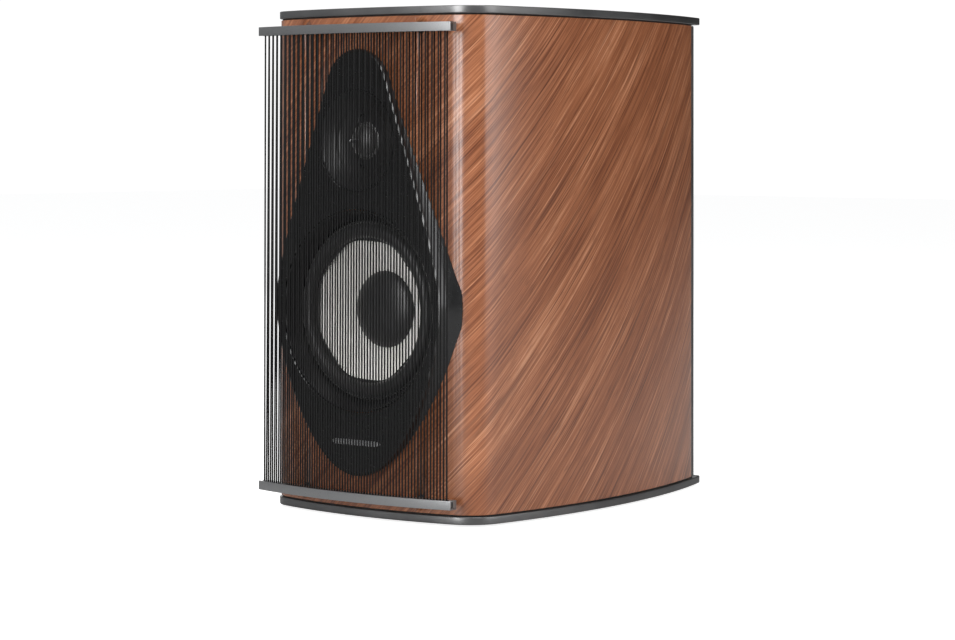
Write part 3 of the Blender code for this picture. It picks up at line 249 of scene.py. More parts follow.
def rounded(points, radius, count=4, closed=True):
    """Profile with each corner replaced by a curve: corner + (1-t)^2 back-step + t^2 forward-step."""
    p = np.asarray(points, float)
    back, ahead = np.roll(p, 1, 0) - p, np.roll(p, -1, 0) - p
    long_back = np.maximum(np.linalg.norm(back, axis=1, keepdims=True), 1e-9)
    long_ahead = np.maximum(np.linalg.norm(ahead, axis=1, keepdims=True), 1e-9)
    step = np.minimum(radius, 0.48 * np.minimum(long_back, long_ahead))
    t = np.linspace(0, 1, count)[None, :, None]
    curve = p[:, None] + (1 - t) ** 2 * (back / long_back * step)[:, None]
    curve = curve + t ** 2 * (ahead / long_ahead * step)[:, None]
    if closed:
        return curve.reshape(-1, 2)
    return np.concatenate((p[:1], curve[1:-1].reshape(-1, 2), p[-1:]))


class Finish:
    """A Principled material with a few words for wiring its pattern nodes."""

    def __init__(self, name, colour, roughness, metallic=0.0, **sockets):
        self.made = bpy.data.materials.new(name)
        self.made.use_nodes = True
        self.nodes = self.made.node_tree.nodes
        self.links = self.made.node_tree.links
        self.shader = self.nodes["Principled BSDF"]
        self.shader.inputs["Base Color"].default_value = (*colour, 1.0)
        self.shader.inputs["Roughness"].default_value = roughness
        self.shader.inputs["Metallic"].default_value = metallic
        for socket, value in sockets.items():
            self.shader.inputs[socket.replace("_", " ")].default_value = value
        self.place = self.nodes.new("ShaderNodeTexCoord").outputs["Object"]

    def stretch(self, scale, source=None):
        """Coordinates scaled, so that a pattern is fine along one axis and long along another."""
        node = self.nodes.new("ShaderNodeMapping")
        node.inputs["Scale"].default_value = scale
        self.links.new(source or self.place, node.inputs["Vector"])
        return node.outputs["Vector"]

    def noise(self, scale, where=None, detail=3.0, rough=0.5):
        """Fractal noise from 0 to 1."""
        node = self.nodes.new("ShaderNodeTexNoise")
        node.inputs["Scale"].default_value = scale
        node.inputs["Detail"].default_value = detail
        node.inputs["Roughness"].default_value = rough
        self.links.new(where or self.place, node.inputs["Vector"])
        return node.outputs["Fac"]

    def span(self, value, low, high, out_low=0.0, out_high=1.0):
        """A value mapped from one range to another, held at the ends."""
        node = self.nodes.new("ShaderNodeMapRange")
        ends = zip(("From Min", "From Max", "To Min", "To Max"), (low, high, out_low, out_high))
        for socket, number in ends:
            node.inputs[socket].default_value = number
        self.links.new(value, node.inputs["Value"])
        return node.outputs["Result"]

    def ramp(self, value, stops):
        """Colours laid along a value."""
        node = self.nodes.new("ShaderNodeValToRGB")
        marks = node.color_ramp.elements
        while len(marks) < len(stops):
            marks.new(0.5)
        for mark, (position, colour) in zip(marks, stops):
            mark.position = position
            mark.color = (*colour, 1.0)
        self.links.new(value, node.inputs["Fac"])
        return node.outputs["Color"]

    def blend(self, share, first, second):
        """Two colours mixed by a share, which may be a number or a pattern."""
        node = self.nodes.new("ShaderNodeMix")
        node.data_type = "RGBA"
        sockets = (node.inputs["Factor"], node.inputs[6], node.inputs[7])
        for socket, value in zip(sockets, (share, first, second)):
            if hasattr(value, "is_linked"):
                self.links.new(value, socket)
            elif isinstance(value, (int, float)):
                socket.default_value = value
            else:
                socket.default_value = (*value, 1.0)
        return node.outputs[2]

    def sum(self, first, second, operation="ADD"):
        """Arithmetic on two values."""
        node = self.nodes.new("ShaderNodeMath")
        node.operation = operation
        for socket, value in zip(node.inputs, (first, second)):
            if hasattr(value, "is_linked"):
                self.links.new(value, socket)
            else:
                socket.default_value = value
        return node.outputs[0]

    def times(self, value, weight):
        """A value scaled by a weight."""
        return self.sum(value, weight, "MULTIPLY")

    def set(self, socket, value):
        """Wire a pattern to one of the shader's own sockets."""
        self.links.new(value, self.shader.inputs[socket])

    def bump(self, height, depth, strength=1.0):
        """Surface relief, its depth in metres."""
        node = self.nodes.new("ShaderNodeBump")
        node.inputs["Strength"].default_value = strength
        node.inputs["Distance"].default_value = depth
        self.links.new(height, node.inputs["Height"])
        self.links.new(node.outputs["Normal"], self.shader.inputs["Normal"])

    def grained(self, pattern, low, high, depth, strength):
        """Roughness from low to high, and relief, that follow the same pattern."""
        self.set("Roughness", self.span(pattern, 0.3, 0.7, low, high))
        self.bump(pattern, depth, strength)

    def stain(self, pattern, stops):
        """Base colour laid along a pattern."""
        self.set("Base Color", self.ramp(pattern, stops))


def paint(shown, finish):
    """Put a finish on a piece."""
    shown.data.materials.clear()
    shown.data.materials.append(finish.made)


def add_piece(shown, finish, slot, body, *nodes):
    """Finish a piece, seat it on its body and let it stand for CAD nodes."""
    paint(shown, finish)
    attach(shown, body)
    if nodes:
        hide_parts(*nodes)


def level_rows(loops):
    """Plan outlines laid in space: each (outline, height) becomes a row behind the front line."""
    return np.stack([np.column_stack((plan[:, 0], plan[:, 1] + FRONT, np.full(len(plan), height)))
                     for plan, height in loops])


graphite = Finish("graphite_anodise", (0.125, 0.125, 0.125), 0.36, 0.85, Specular_IOR_Level=0.5)
blasted = graphite.noise(2600, detail=2.0)
cloud = graphite.noise(22, detail=4.0)
graphite.stain(cloud, [(0.3, (0.108, 0.108, 0.109)), (0.7, (0.142, 0.142, 0.143))])
graphite.set("Roughness", graphite.span(graphite.sum(blasted, cloud), 0.6, 1.4, 0.28, 0.42))
graphite.bump(blasted, 0.00002, 0.5)


def plate(name, low, high):
    """Stack of inset outlines: each row is the lute outline moved in by the edge's rounding."""
    edge = 0.0007
    t = np.linspace(0, math.pi / 2, 5)
    insets = np.concatenate((edge * (1 - np.sin(t)), edge * (1 - np.cos(t))))
    levels = np.concatenate((low + edge * (1 - np.cos(t)), high - edge * (1 - np.sin(t))))
    rows = level_rows([(lute(inset, PLATE_REAR - inset), level) for inset, level in zip(insets, levels)])
    return surface(name, rows, wrap_columns=True, caps=True)


for name in ("top_plate", "bottom_plate"):
    low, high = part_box(name)
    add_piece(plate("milled_" + name, low.z, high.z), graphite, "graphite", "cabinet", name)


# ------------------------ gaskets and pads
# Half-millimetre rubber gaskets leave a dark line between wood and metal, and four thin
# rubber pads are stuck under the bottom plate.

rubber = Finish("moulded_rubber", (0.012, 0.012, 0.012), 0.75)
rubber_grain = rubber.noise(1500, detail=3.0)
rubber.grained(rubber_grain, 0.62, 0.86, 0.00003, 0.5)
for name in ("top_gasket", "bottom_gasket", "woofer_gasket"):
    paint(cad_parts[name], rubber)


def turned(name, profile, x, z, steps=128, round_by=0.0, angle=35.0, closed=True):
    """Surface of revolution: x + r cos t, profile depth, z + r sin t for every profile point."""
    p = rounded(profile, round_by, 5, closed) if round_by else np.asarray(profile, float)
    t = np.linspace(0, math.tau, steps, endpoint=False)[:, None]
    grid = np.stack((x + p[None, :, 0] * np.cos(t), np.broadcast_to(p[None, :, 1], (steps, len(p))),
                     z + p[None, :, 0] * np.sin(t)), -1)
    return surface(name, grid, wrap_rows=True, wrap_columns=closed, angle=angle)


def disc(name, centre_x, centre_y, low, high, radius, edge):
    """Upright button: a half profile with a rounded rim, turned about a vertical line."""
    profile = rounded([(0, low), (radius, low), (radius, high), (0, high)], edge, 5, closed=False)
    steps = 48
    t = np.linspace(0, math.tau, steps, endpoint=False)[:, None]
    grid = np.stack((centre_x + profile[None, :, 0] * np.cos(t), centre_y + profile[None, :, 0] * np.sin(t),
                     np.broadcast_to(profile[None, :, 1], (steps, len(profile)))), -1)
    return surface(name, grid, wrap_rows=True)


for end in ("front", "rear"):
    for side in ("left", "right"):
        name = f"pad_{end}_{side}"
        low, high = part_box(name)
        middle = (low + high) / 2
        pad = disc("soft_" + name, middle.x, middle.y, low.z, high.z, (high.x - low.x) / 2, 0.0004)
        add_piece(pad, rubber, "rubber", "cabinet", name)


# ------------------------ cabinet
# Bent plywood wrapped round the front, closed by boards above and below, and faced with
# walnut veneer laid on the slant.  Several coats of lacquer give it a soft, deep gloss.

shell_low, shell_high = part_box("cabinet_shell")
WOOD_INSET, SIDE_WALL, BAFFLE, BOARD = 0.0012, 0.016, 0.026, 0.018
WOOD_REAR = 0.331                    # rear edge of the wood behind the front line
GRAIN_ANGLE = math.radians(43)

veneer = Finish("walnut_veneer", (0.3, 0.14, 0.08), 0.3, Coat_Weight=1.0, Coat_Roughness=0.20,
                Coat_IOR=1.5, Specular_IOR_Level=0.12)
leaf = veneer.nodes.new("ShaderNodeUVMap")
leaf.uv_map = "surface"
laid = leaf.outputs["UV"]
# x runs across the grain and y along it, in metres
swirl = veneer.noise(7.0, veneer.stretch((1, 0.7, 1), laid), 2.0)
swirled = veneer.nodes.new("ShaderNodeVectorMath")
swirled.operation = "MULTIPLY_ADD"
lift = veneer.nodes.new("ShaderNodeCombineXYZ")
veneer.links.new(veneer.span(swirl, 0.25, 0.75, -0.0013, 0.0013), lift.inputs["X"])
veneer.links.new(laid, swirled.inputs[0])
swirled.inputs[1].default_value = (1, 1, 1)
veneer.links.new(lift.outputs["Vector"], swirled.inputs[2])
laid = swirled.outputs["Vector"]
broad = veneer.noise(1.0, veneer.stretch((26, 2.4, 1), laid), 4.0, 0.55)
streak = veneer.noise(1.0, veneer.stretch((300, 4.5, 1), laid), 3.0, 0.7)
fibre = veneer.noise(1.0, veneer.stretch((880, 12, 1), laid), 2.0, 0.6)
hair = veneer.noise(1.0, veneer.stretch((560, 6.5, 1), laid), 1.0, 0.5)
pores = veneer.noise(1.0, veneer.stretch((1150, 60, 1), laid), 1.0, 0.5)
tone = veneer.sum(veneer.times(broad, 0.8),
                  veneer.sum(veneer.times(streak, 1.1), veneer.times(fibre, 1.3)))
wood = veneer.ramp(veneer.span(tone, 1.22, 1.98), [
    (0.00, (0.085, 0.023, 0.008)), (0.30, (0.165, 0.052, 0.020)), (0.55, (0.235, 0.082, 0.034)),
    (0.80, (0.312, 0.124, 0.058)), (1.00, (0.415, 0.190, 0.102))])
dark_line = veneer.times(veneer.span(hair, 0.56, 0.66), 0.55)
dark_pore = veneer.times(veneer.span(pores, 0.60, 0.68), 0.40)
marks = veneer.sum(dark_line, dark_pore, "MAXIMUM")
wood = veneer.blend(marks, wood, (0.075, 0.023, 0.010))
veneer.set("Base Color", wood)
veneer.set("Roughness", veneer.span(fibre, 0.3, 0.7, 0.40, 0.56))
veneer.bump(veneer.sum(fibre, marks, "SUBTRACT"), 0.00003, 0.35)


def grain_map(points):
    """Across and along the grain: v cos a - u sin a and u cos a + v sin a.

    u is arc length from the middle of the front and v is height; a bend of 0.16 u^2 is taken
    off the first.
    """
    steps = np.linalg.norm(np.diff(points[0, :, :2], axis=0), axis=1)
    run = np.concatenate(([0.0], np.cumsum(steps)))
    u = (run - run[-1] / 2)[None, :]
    v = points[:, :, 2]
    bend = 0.16 * u ** 2
    across = v * math.cos(GRAIN_ANGLE) - u * math.sin(GRAIN_ANGLE) - bend
    along = u * math.cos(GRAIN_ANGLE) + v * math.sin(GRAIN_ANGLE)
    return np.stack((across + 1.0, along + 1.0), -1)


def wrap_shell():
    """The outline and the same outline moved in by the wall, lofted over the height and closed by strips."""
    edge = 0.0003
    outer = lute(WOOD_INSET, WOOD_REAR)
    eased = lute(WOOD_INSET + edge, WOOD_REAR)
    inner = lute(WOOD_INSET + SIDE_WALL, WOOD_REAR, WOOD_INSET + BAFFLE)
    grid = level_rows([(outer, shell_low.z + edge), (outer, shell_high.z - edge), (eased, shell_high.z),
                       (inner, shell_high.z), (inner, shell_low.z), (eased, shell_low.z)])
    closed = surface("veneered_wrap", grid, wrap_rows=True, uv=grain_map(grid), angle=30)
    ends = bmesh.new()
    ends.from_mesh(closed.data)
    bmesh.ops.holes_fill(ends, edges=[e for e in ends.edges if e.is_boundary], sides=0)
    bmesh.ops.recalc_face_normals(ends, faces=ends.faces)
    ends.to_mesh(closed.data)
    ends.free()
    closed.data.set_sharp_from_angle(angle=math.radians(30))
    return closed


def bore(target, *tools):
    """Cut tools out of a piece for good, and remove them."""
    for tool in tools:
        step = target.modifiers.new("bore", "BOOLEAN")
        step.operation = "DIFFERENCE"
        step.solver = "EXACT"
        step.object = tool
    bpy.context.view_layer.update()
    cut = bpy.data.meshes.new_from_object(target.evaluated_get(bpy.context.evaluated_depsgraph_get()))
    target.modifiers.clear()
    target.data = cut
    for tool in tools:
        bpy.data.objects.remove(tool, do_unlink=True)


basket_low, basket_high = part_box("woofer_basket")
dish_low, dish_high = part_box("tweeter_waveguide")
WOOFER_Z = (basket_low.z + basket_high.z) / 2
TWEETER_Z = (dish_low.z + dish_high.z) / 2


def at(depth):
    """World Y of a depth behind the front line of the plates."""
    return FRONT + depth


def plug(name, radius, front, back, z):
    """Solid drum on the middle line, between two depths, for cutting a driver's opening."""
    return turned(name, [(0, at(front)), (radius, at(front)), (radius, at(back)), (0, at(back))], 0, z, 96,
                  closed=False)


# each driver has a shallow seat for its flange and a deeper hole through the front
wrap = wrap_shell()
tools = [plug("tool_a", 0.0783, -0.01, 0.0173, WOOFER_Z), plug("tool_b", 0.0675, 0.010, 0.06, WOOFER_Z),
         plug("tool_c", 0.0423, -0.01, 0.0133, TWEETER_Z), plug("tool_d", 0.0370, 0.010, 0.06, TWEETER_Z)]
SOCKET_BORE = 0.0047
for row in ("top", "bottom"):
    for side in ("left", "right"):
        low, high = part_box(f"grille_socket_{row}_{side}")
        start, end = FRONT - 0.01, high.y + GAP
        tools.append(turned("tool_e", [(0, start), (SOCKET_BORE, start), (SOCKET_BORE, end), (0, end)],
                            (low.x + high.x) / 2, (low.z + high.z) / 2, 32, closed=False))
bore(wrap, *tools)
add_piece(wrap, veneer, "walnut", "cabinet", "cabinet_shell")

ply = Finish("birch_ply", (0.55, 0.40, 0.24), 0.6)
layers = ply.noise(1.0, ply.stretch((3, 3, 900)), 2.0)
ply.stain(layers, [(0.35, (0.30, 0.19, 0.10)), (0.65, (0.62, 0.46, 0.28))])
ply.bump(ply.noise(700), 0.00003, 0.4)
PLAY = 0.0001
board_plan = lute(WOOD_INSET + SIDE_WALL + PLAY, WOOD_REAR, WOOD_INSET + BAFFLE + PLAY)
for name, low, high in (("lower_board", shell_low.z, shell_low.z + BOARD),
                        ("upper_board", shell_high.z - BOARD, shell_high.z)):
    board = surface(name, level_rows([(board_plan, low), (board_plan, high)]), wrap_columns=True, caps=True)
    add_piece(board, ply, "walnut", "cabinet", "cabinet_shell")
paint(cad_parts["shelf_brace"], ply)


# ------------------------ rear panel and its screws
# A graphite-anodised metal panel closes the rear and is held by socket screws of plain steel.

paint(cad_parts["rear_panel"], graphite)
steel = Finish("satin_steel", (0.55, 0.55, 0.56), 0.26, 1.0)
brushing = steel.noise(900, steel.stretch((1, 1, 6)), 2.0)
steel.grained(brushing, 0.20, 0.36, 0.00002, 0.3)


def socket_screw(name, x, z, tip, head, back):
    """Rows of radii over t: circles down the shank and head, then the key's hexagon a / cos(t - 60 k)."""
    shank, rim, key, key_floor = 0.0018, 0.0038, 0.0018, back - 0.0017
    t = np.linspace(0, math.tau, 60, endpoint=False)
    ring = np.ones_like(t)
    six = math.cos(math.pi / 6) / np.cos((t + math.pi / 6) % (math.pi / 3) - math.pi / 6)
    rows = [(0 * ring, tip), (shank * ring, tip), (shank * ring, head), (rim * ring, head),
            (rim * ring, back - 0.0005), (0.00365 * ring, back - 0.0001), (0.0033 * ring, back),
            (0.0019 * six, back), (key * six, back - 0.0002), (key * six, key_floor), (0 * ring, key_floor)]
    grid = np.stack([np.column_stack((x + r * np.cos(t), np.full(len(t), y), z + r * np.sin(t)))
                     for r, y in rows])
    return surface(name, grid, wrap_columns=True, angle=40)


SCREW_HEAD = 0.0024
for row in ("top", "bottom"):
    for side in ("left", "right"):
        name = f"panel_screw_{row}_{side}"
        low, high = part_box(name)
        middle = (low + high) / 2
        screw = socket_screw("socket_" + name, middle.x, middle.z, low.y, high.y - SCREW_HEAD, high.y)
        add_piece(screw, steel, "steel", "cabinet", name)


# ------------------------ reflex port
# A moulded tube, flared inside, is glued into a turned metal ring on the rear panel.

moulded = Finish("moulded_black", (0.016, 0.016, 0.017), 0.5)
spark = moulded.noise(1900, detail=3.0)
moulded.grained(spark, 0.42, 0.60, 0.00004, 0.5)
low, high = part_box("port_tube")
port_z = (low.z + high.z) / 2
add_piece(turned("moulded_port_tube", [
    (0.0335, low.y), (0.0305, low.y + 0.004), (0.0275, low.y + 0.010), (0.0275, high.y), (0.025, high.y),
    (0.025, low.y + 0.010), (0.0265, low.y + 0.003), (0.030, low.y)], 0, port_z, round_by=0.0012),
    moulded, "black_plastic", "cabinet", "port_tube")
low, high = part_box("port_flare")
add_piece(turned("turned_port_ring", [
    (0.034, low.y + 0.0010), (0.034, low.y), (0.025, low.y), (0.0258, low.y + 0.0018), (0.0280, high.y),
    (0.0308, high.y)], 0, port_z, round_by=0.0010), graphite, "graphite", "cabinet", "port_flare")


# ------------------------ terminals
# Gold-plated brass posts stand in a moulded plate; a knurled nut on each screws down its washer.

gold = Finish("gold_plate", (0.83, 0.60, 0.25), 0.18, 1.0)
wear = gold.noise(300, detail=4.0)
gold.stain(wear, [(0.35, (0.78, 0.55, 0.22)), (0.7, (0.88, 0.66, 0.30))])
gold.set("Roughness", gold.span(wear, 0.3, 0.7, 0.14, 0.28))
paint(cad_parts["terminal_plate"], moulded)
THREAD, PITCH, THREAD_CUT = 0.003, 0.001, 0.00035
COLLAR, WASHER, NUT = 0.0065, 0.0066, 0.0075
BORE = THREAD + GAP


def around_axis(name, radii, depths, x, z, angle, wrap_rows=False):
    """Surface whose radius is given for each (depth, turn) pair; poles close where it falls to zero."""
    t = np.linspace(0, math.tau, radii.shape[1], endpoint=False)[None, :]
    grid = np.stack((x + radii * np.cos(t), np.broadcast_to(depths[:, None], radii.shape),
                     z + radii * np.sin(t)), -1)
    return surface(name, grid, wrap_rows=wrap_rows, wrap_columns=True, angle=angle)


def post_shape(name, x, z, low, high, collar, collar_end):
    """Radius R - d |2 frac(depth / pitch - t / 2 pi) - 1| winds a thread behind a wide collar."""
    t = np.linspace(0, math.tau, 40, endpoint=False)[None, :]
    depth = np.concatenate(([low, low], np.linspace(low, collar - 0.0002, 6),
                            [collar, collar, collar_end, collar_end],
                            np.linspace(collar_end, high - 0.0006, 160), [high, high]))
    wound = (depth[:, None] / PITCH - t / math.tau) % 1.0
    radius = THREAD - THREAD_CUT * np.abs(2 * wound - 1) * (depth[:, None] > collar_end)
    radius[0] = 0
    radius[8:9] = THREAD
    radius[9:11] = COLLAR
    radius[11] = THREAD
    radius[-2] = THREAD - 0.0007
    radius[-1] = 0
    return around_axis(name, radius, depth, x, z, 50)


def nut_shape(name, x, z, low, high):
    """Outer radius min(R, q cos d - sqrt(c^2 - q^2 sin^2 d)), d being the angle from each of six scallops.

    q is the reach to a scallop's middle and c is its own radius.
    """
    t = np.linspace(0, math.tau, 144, endpoint=False)
    d = (t + math.pi / 6) % (math.pi / 3) - math.pi / 6
    reach, cutter = 0.0087, 0.0022
    inside = cutter ** 2 - (reach * np.sin(d)) ** 2
    bite = reach * np.cos(d) - np.sqrt(np.maximum(inside, 0))
    outer = np.where(inside > 0, np.minimum(NUT, bite), NUT)
    depth = np.array([low, low, low + 0.0004, low + 0.0012, high - 0.0015, high - 0.0005, high, high])
    drop = np.array([0, 0.0012, 0.0005, 0, 0, 0.0006, 0.0016, 0])[:, None]
    radius = outer[None, :] - drop
    radius[0] = radius[-1] = BORE
    return around_axis(name, radius, depth, x, z, 40, wrap_rows=True)


for side in ("left", "right"):
    low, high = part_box("binding_post_" + side)
    x, z = (low.x + high.x) / 2, (low.z + high.z) / 2
    washer_low, washer_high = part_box("post_washer_" + side)
    collar_end = washer_low.y - GAP
    add_piece(post_shape("threaded_post_" + side, x, z, low.y, high.y, collar_end - 0.003, collar_end),
              gold, "gold", "cabinet", "binding_post_" + side)
    washer = turned("turned_washer_" + side, [(WASHER, washer_low.y), (WASHER, washer_high.y),
                                              (BORE, washer_high.y), (BORE, washer_low.y)], x, z, 64, 0.0003)
    add_piece(washer, gold, "gold", side + "_clamp", "post_washer_" + side)
    low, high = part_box("binding_nut_" + side)
    add_piece(nut_shape("scalloped_nut_" + side, x, z, low.y, high.y), gold, "gold", side + "_nut",
              "binding_nut_" + side)


# ------------------------ fascia and badge
# A die-cast teardrop in satin black lacquer, flared at its edge down to the bowed veneer.
# The face is flat, with a fine polished chamfer round it, and carries a small blank badge.

FASCIA_PROUD, FASCIA_DEEP, FLARE, CHAMFER = 0.002, 0.0156, 0.0135, 0.0013
lacquer = Finish("black_lacquer", (0.008, 0.008, 0.0083), 0.22)
peel = lacquer.noise(420, detail=3.0)
lacquer.grained(peel, 0.20, 0.28, 0.00002, 0.35)


def teardrop():
    """Right half as (x, z): a circle at the crown, then two cubic curves that meet on the widest level."""
    half_width, widest, bottom, top, crown = 0.087, WOOFER_Z + 0.0055, 0.033, 0.363, 0.032
    middle = top - crown
    lean = math.asin((half_width - crown) / (middle - widest))
    t = np.linspace(math.pi / 2, lean, 25)
    arc = np.column_stack((crown * np.cos(t), middle + crown * np.sin(t)))
    end = arc[-1]
    handle = 0.34 * (end[1] - widest)
    drop = widest - bottom
    curves = [(end, (end[0] + handle * math.sin(lean), end[1] - handle * math.cos(lean)),
               (half_width, widest + 0.18 * (end[1] - widest)), (half_width, widest), 49),
              ((half_width, widest), (half_width, widest - 0.325 * drop), (0.565 * half_width, bottom),
               (0.0, bottom), 57)]
    pieces = [arc[:-1]]
    for a, b, c, d, count in curves:
        s = np.linspace(0, 1, count)[:, None]
        a, b, c, d = map(np.asarray, (a, b, c, d))
        curve = (1 - s) ** 3 * a + 3 * s * (1 - s) ** 2 * b + 3 * s ** 2 * (1 - s) * c + s ** 3 * d
        pieces.append(curve[:-1])
    pieces.append(np.array([(0.0, bottom)]))
    return np.concatenate(pieces)


def fascia_form():
    """Outline plus its outward normal times depth^2 / (2 flare), one row for each depth behind the face."""
    half = teardrop()
    loop = np.concatenate((half, half[-2:0:-1] * (-1, 1)))
    along = np.roll(loop, -1, 0) - np.roll(loop, 1, 0)
    normal = np.column_stack((-along[:, 1], along[:, 0]))
    normal /= np.linalg.norm(normal, axis=1, keepdims=True)
    normal *= np.sign(np.sum(normal * (loop - (0, WOOFER_Z)), axis=1, keepdims=True))
    depth = np.linspace(0.0, FASCIA_DEEP, 25)
    grow = depth ** 2 / (2 * FLARE)
    grow[0] = -CHAMFER
    depth = np.insert(depth, 1, 0.0005)
    grow = np.insert(grow, 1, -0.00005)
    rows = [np.column_stack((loop[:, 0] + normal[:, 0] * g, np.full(len(loop), at(d - FASCIA_PROUD)),
                             loop[:, 1] + normal[:, 1] * g)) for d, g in zip(depth, grow)]
    return surface("cast_fascia", np.stack(rows), wrap_columns=True, caps=True, angle=20)


def mouth(name, radius, widened, lip, z, steps):
    """Stepped drum for a driver's hole, widened at the face to leave a small lip."""
    return turned(name, [(0, at(-0.02)), (widened, at(-0.02)), (widened, at(-0.0021)), (radius, at(lip)),
                         (radius, at(0.06)), (0, at(0.06))], 0, z, steps, closed=False)


fascia = fascia_form()
wood_plan = lute(WOOD_INSET - GAP, WOOD_REAR)
bore(fascia, surface("tool_f", level_rows([(wood_plan, 0.0), (wood_plan, 0.4)]), wrap_columns=True, caps=True),
     mouth("tool_g", 0.0786, 0.0796, -0.0015, WOOFER_Z, 160),
     mouth("tool_h", 0.0394, 0.0400, -0.0016, TWEETER_Z, 128))
smooth(fascia.data, 20)
add_piece(fascia, lacquer, "black_metal", "cabinet", "fascia")

badge_low, badge_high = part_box("badge")
badge_z = (badge_low.z + badge_high.z) / 2
TIP_X, SHOULDER_X, HALF_TALL = 0.0265, 0.0215, 0.0021
lozenge = rounded([(-TIP_X, 0.0), (-SHOULDER_X, -HALF_TALL), (SHOULDER_X, -HALF_TALL), (TIP_X, 0.0),
                   (SHOULDER_X, HALF_TALL), (-SHOULDER_X, HALF_TALL)], 0.0008, 6)
inset = lozenge * (0.988, 0.86)
rows = [np.column_stack((o[:, 0], np.full(len(o), y), badge_z + o[:, 1]))
        for o, y in ((lozenge, badge_high.y), (lozenge, badge_low.y + 0.0001), (inset, badge_low.y))]
add_piece(surface("blank_badge", np.stack(rows), wrap_columns=True, caps=True), steel, "steel", "cabinet",
          "badge")


# ------------------------ woofer
# A sloped black trim frames a half-roll rubber surround, glued to a pale cone of air-dried
# paper with a black cap at its middle.  The basket behind is cast, with a ferrite ring magnet.

LIP, CREST, THICK = 0.0124, 0.0065, 0.0008
SURROUND, CONE, NECK = 0.0700, 0.0563, 0.0170
trim_rows = [(0.0780, -0.0012), (0.0780, 0.0132), (0.0704, 0.0132), (0.0704, 0.0095), (0.0709, 0.0088),
             (0.0769, -0.0012)]
satin = Finish("satin_black", (0.012, 0.012, 0.0123), 0.32, Specular_IOR_Level=0.3)
fine = satin.noise(1400, detail=2.0)
satin.grained(fine, 0.27, 0.38, 0.00003, 0.4)
add_piece(turned("sloped_trim", [(r, at(y)) for r, y in trim_rows], 0, WOOFER_Z, 192, 0.0005), satin,
          "black_metal", "cabinet", "woofer_trim")

roll_rubber = Finish("roll_rubber", (0.011, 0.011, 0.0115), 0.42, Sheen_Weight=0.15)
skin = roll_rubber.noise(900, detail=3.0)
roll_rubber.grained(skin, 0.36, 0.52, 0.00003, 0.4)
middle_r = (SURROUND - 0.0015 + CONE) / 2
half_r = (SURROUND - 0.0015 - CONE) / 2


def roll(start, stop, count):
    """Half-roll arc: radius m + h cos a, depth lip - crest sin a, between two angles."""
    a = np.linspace(start, stop, count)
    return np.column_stack((middle_r + half_r * np.cos(a), at(LIP) - CREST * np.sin(a)))


def roll_wall(outer_points):
    """The arc, and the same arc returned behind it by the rubber's thickness and 2 % nearer the middle."""
    back = outer_points[::-1].copy()
    back[:, 1] += THICK
    back[:, 0] += 0.02 * (middle_r - back[:, 0])
    return np.concatenate((outer_points, back))


outer_arc = np.concatenate(([(SURROUND - 0.0002, at(LIP))], roll(0.0, math.pi / 2, 24)))
inner_arc = np.concatenate((roll(math.pi / 2, math.pi, 24), [(CONE - 0.0008, at(LIP))]))
outer_roll = turned("surround_outer", roll_wall(outer_arc), 0, WOOFER_Z, 192, angle=60)
paint(outer_roll, roll_rubber)
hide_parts("woofer_surround")
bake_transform(outer_roll)


def lobed(name, p, inner_from, lobes, depth, phase):
    """Turned profile whose points inside a radius are pulled in by depth (1 + cos(lobes t + phase)) / 2."""
    t = np.linspace(0, math.tau, 216, endpoint=False)[:, None]
    pull = (p[None, :, 0] < inner_from) * depth * (1 + np.cos(lobes * t + phase)) / 2
    radius = p[None, :, 0] - pull
    grid = np.stack((radius * np.cos(t), np.broadcast_to(p[None, :, 1], radius.shape),
                     WOOFER_Z + radius * np.sin(t)), -1)
    return surface(name, grid, wrap_rows=True, wrap_columns=True, angle=60)


inner_roll = lobed("surround_inner", roll_wall(inner_arc), CONE - 0.0002, 8, 0.0018, 0.4)
add_piece(inner_roll, roll_rubber, "rubber", "woofer_cone", "woofer_surround")

paper = Finish("paper_cone", (0.74, 0.71, 0.66), 0.82, Sheen_Weight=0.1)
pulp = paper.noise(420, detail=5.0, rough=0.7)
clump = paper.noise(70, detail=4.0)
mottle = paper.sum(paper.times(pulp, 0.6), paper.times(clump, 0.4))
paper.stain(mottle, [
    (0.35, (0.70, 0.68, 0.65)), (0.55, (0.82, 0.80, 0.77)), (0.72, (0.90, 0.88, 0.85))])
paper.bump(pulp, 0.00008, 0.6)
# the flank runs from edge to neck, with depth D (0.92 s + 0.08 s^2) over the share s of the way
CONE_DEEP, CONE_WALL = 0.0280, 0.0007
edge_y = LIP + THICK + 2 * GAP
s = np.linspace(0, 1, 28)
flank_r = CONE + (NECK - CONE) * s
flank_y = edge_y + CONE_DEEP * (0.92 * s + 0.08 * s ** 2)
front_side = np.column_stack((flank_r, at(flank_y)))
back_side = np.column_stack((flank_r[::-1], at(flank_y[::-1] + CONE_WALL)))
add_piece(turned("paper_cone", np.concatenate((front_side, back_side)), 0, WOOFER_Z, 160, angle=60), paper,
          "paper", "woofer_cone", "woofer_cone")

cap_low, cap_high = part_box("dust_cap")
cap = Finish("glazed_cap", (0.016, 0.016, 0.017), 0.36, Coat_Weight=0.2, Coat_Roughness=0.3)
weave = cap.noise(800, detail=3.0)
cap.grained(weave, 0.32, 0.46, 0.00005, 0.4)
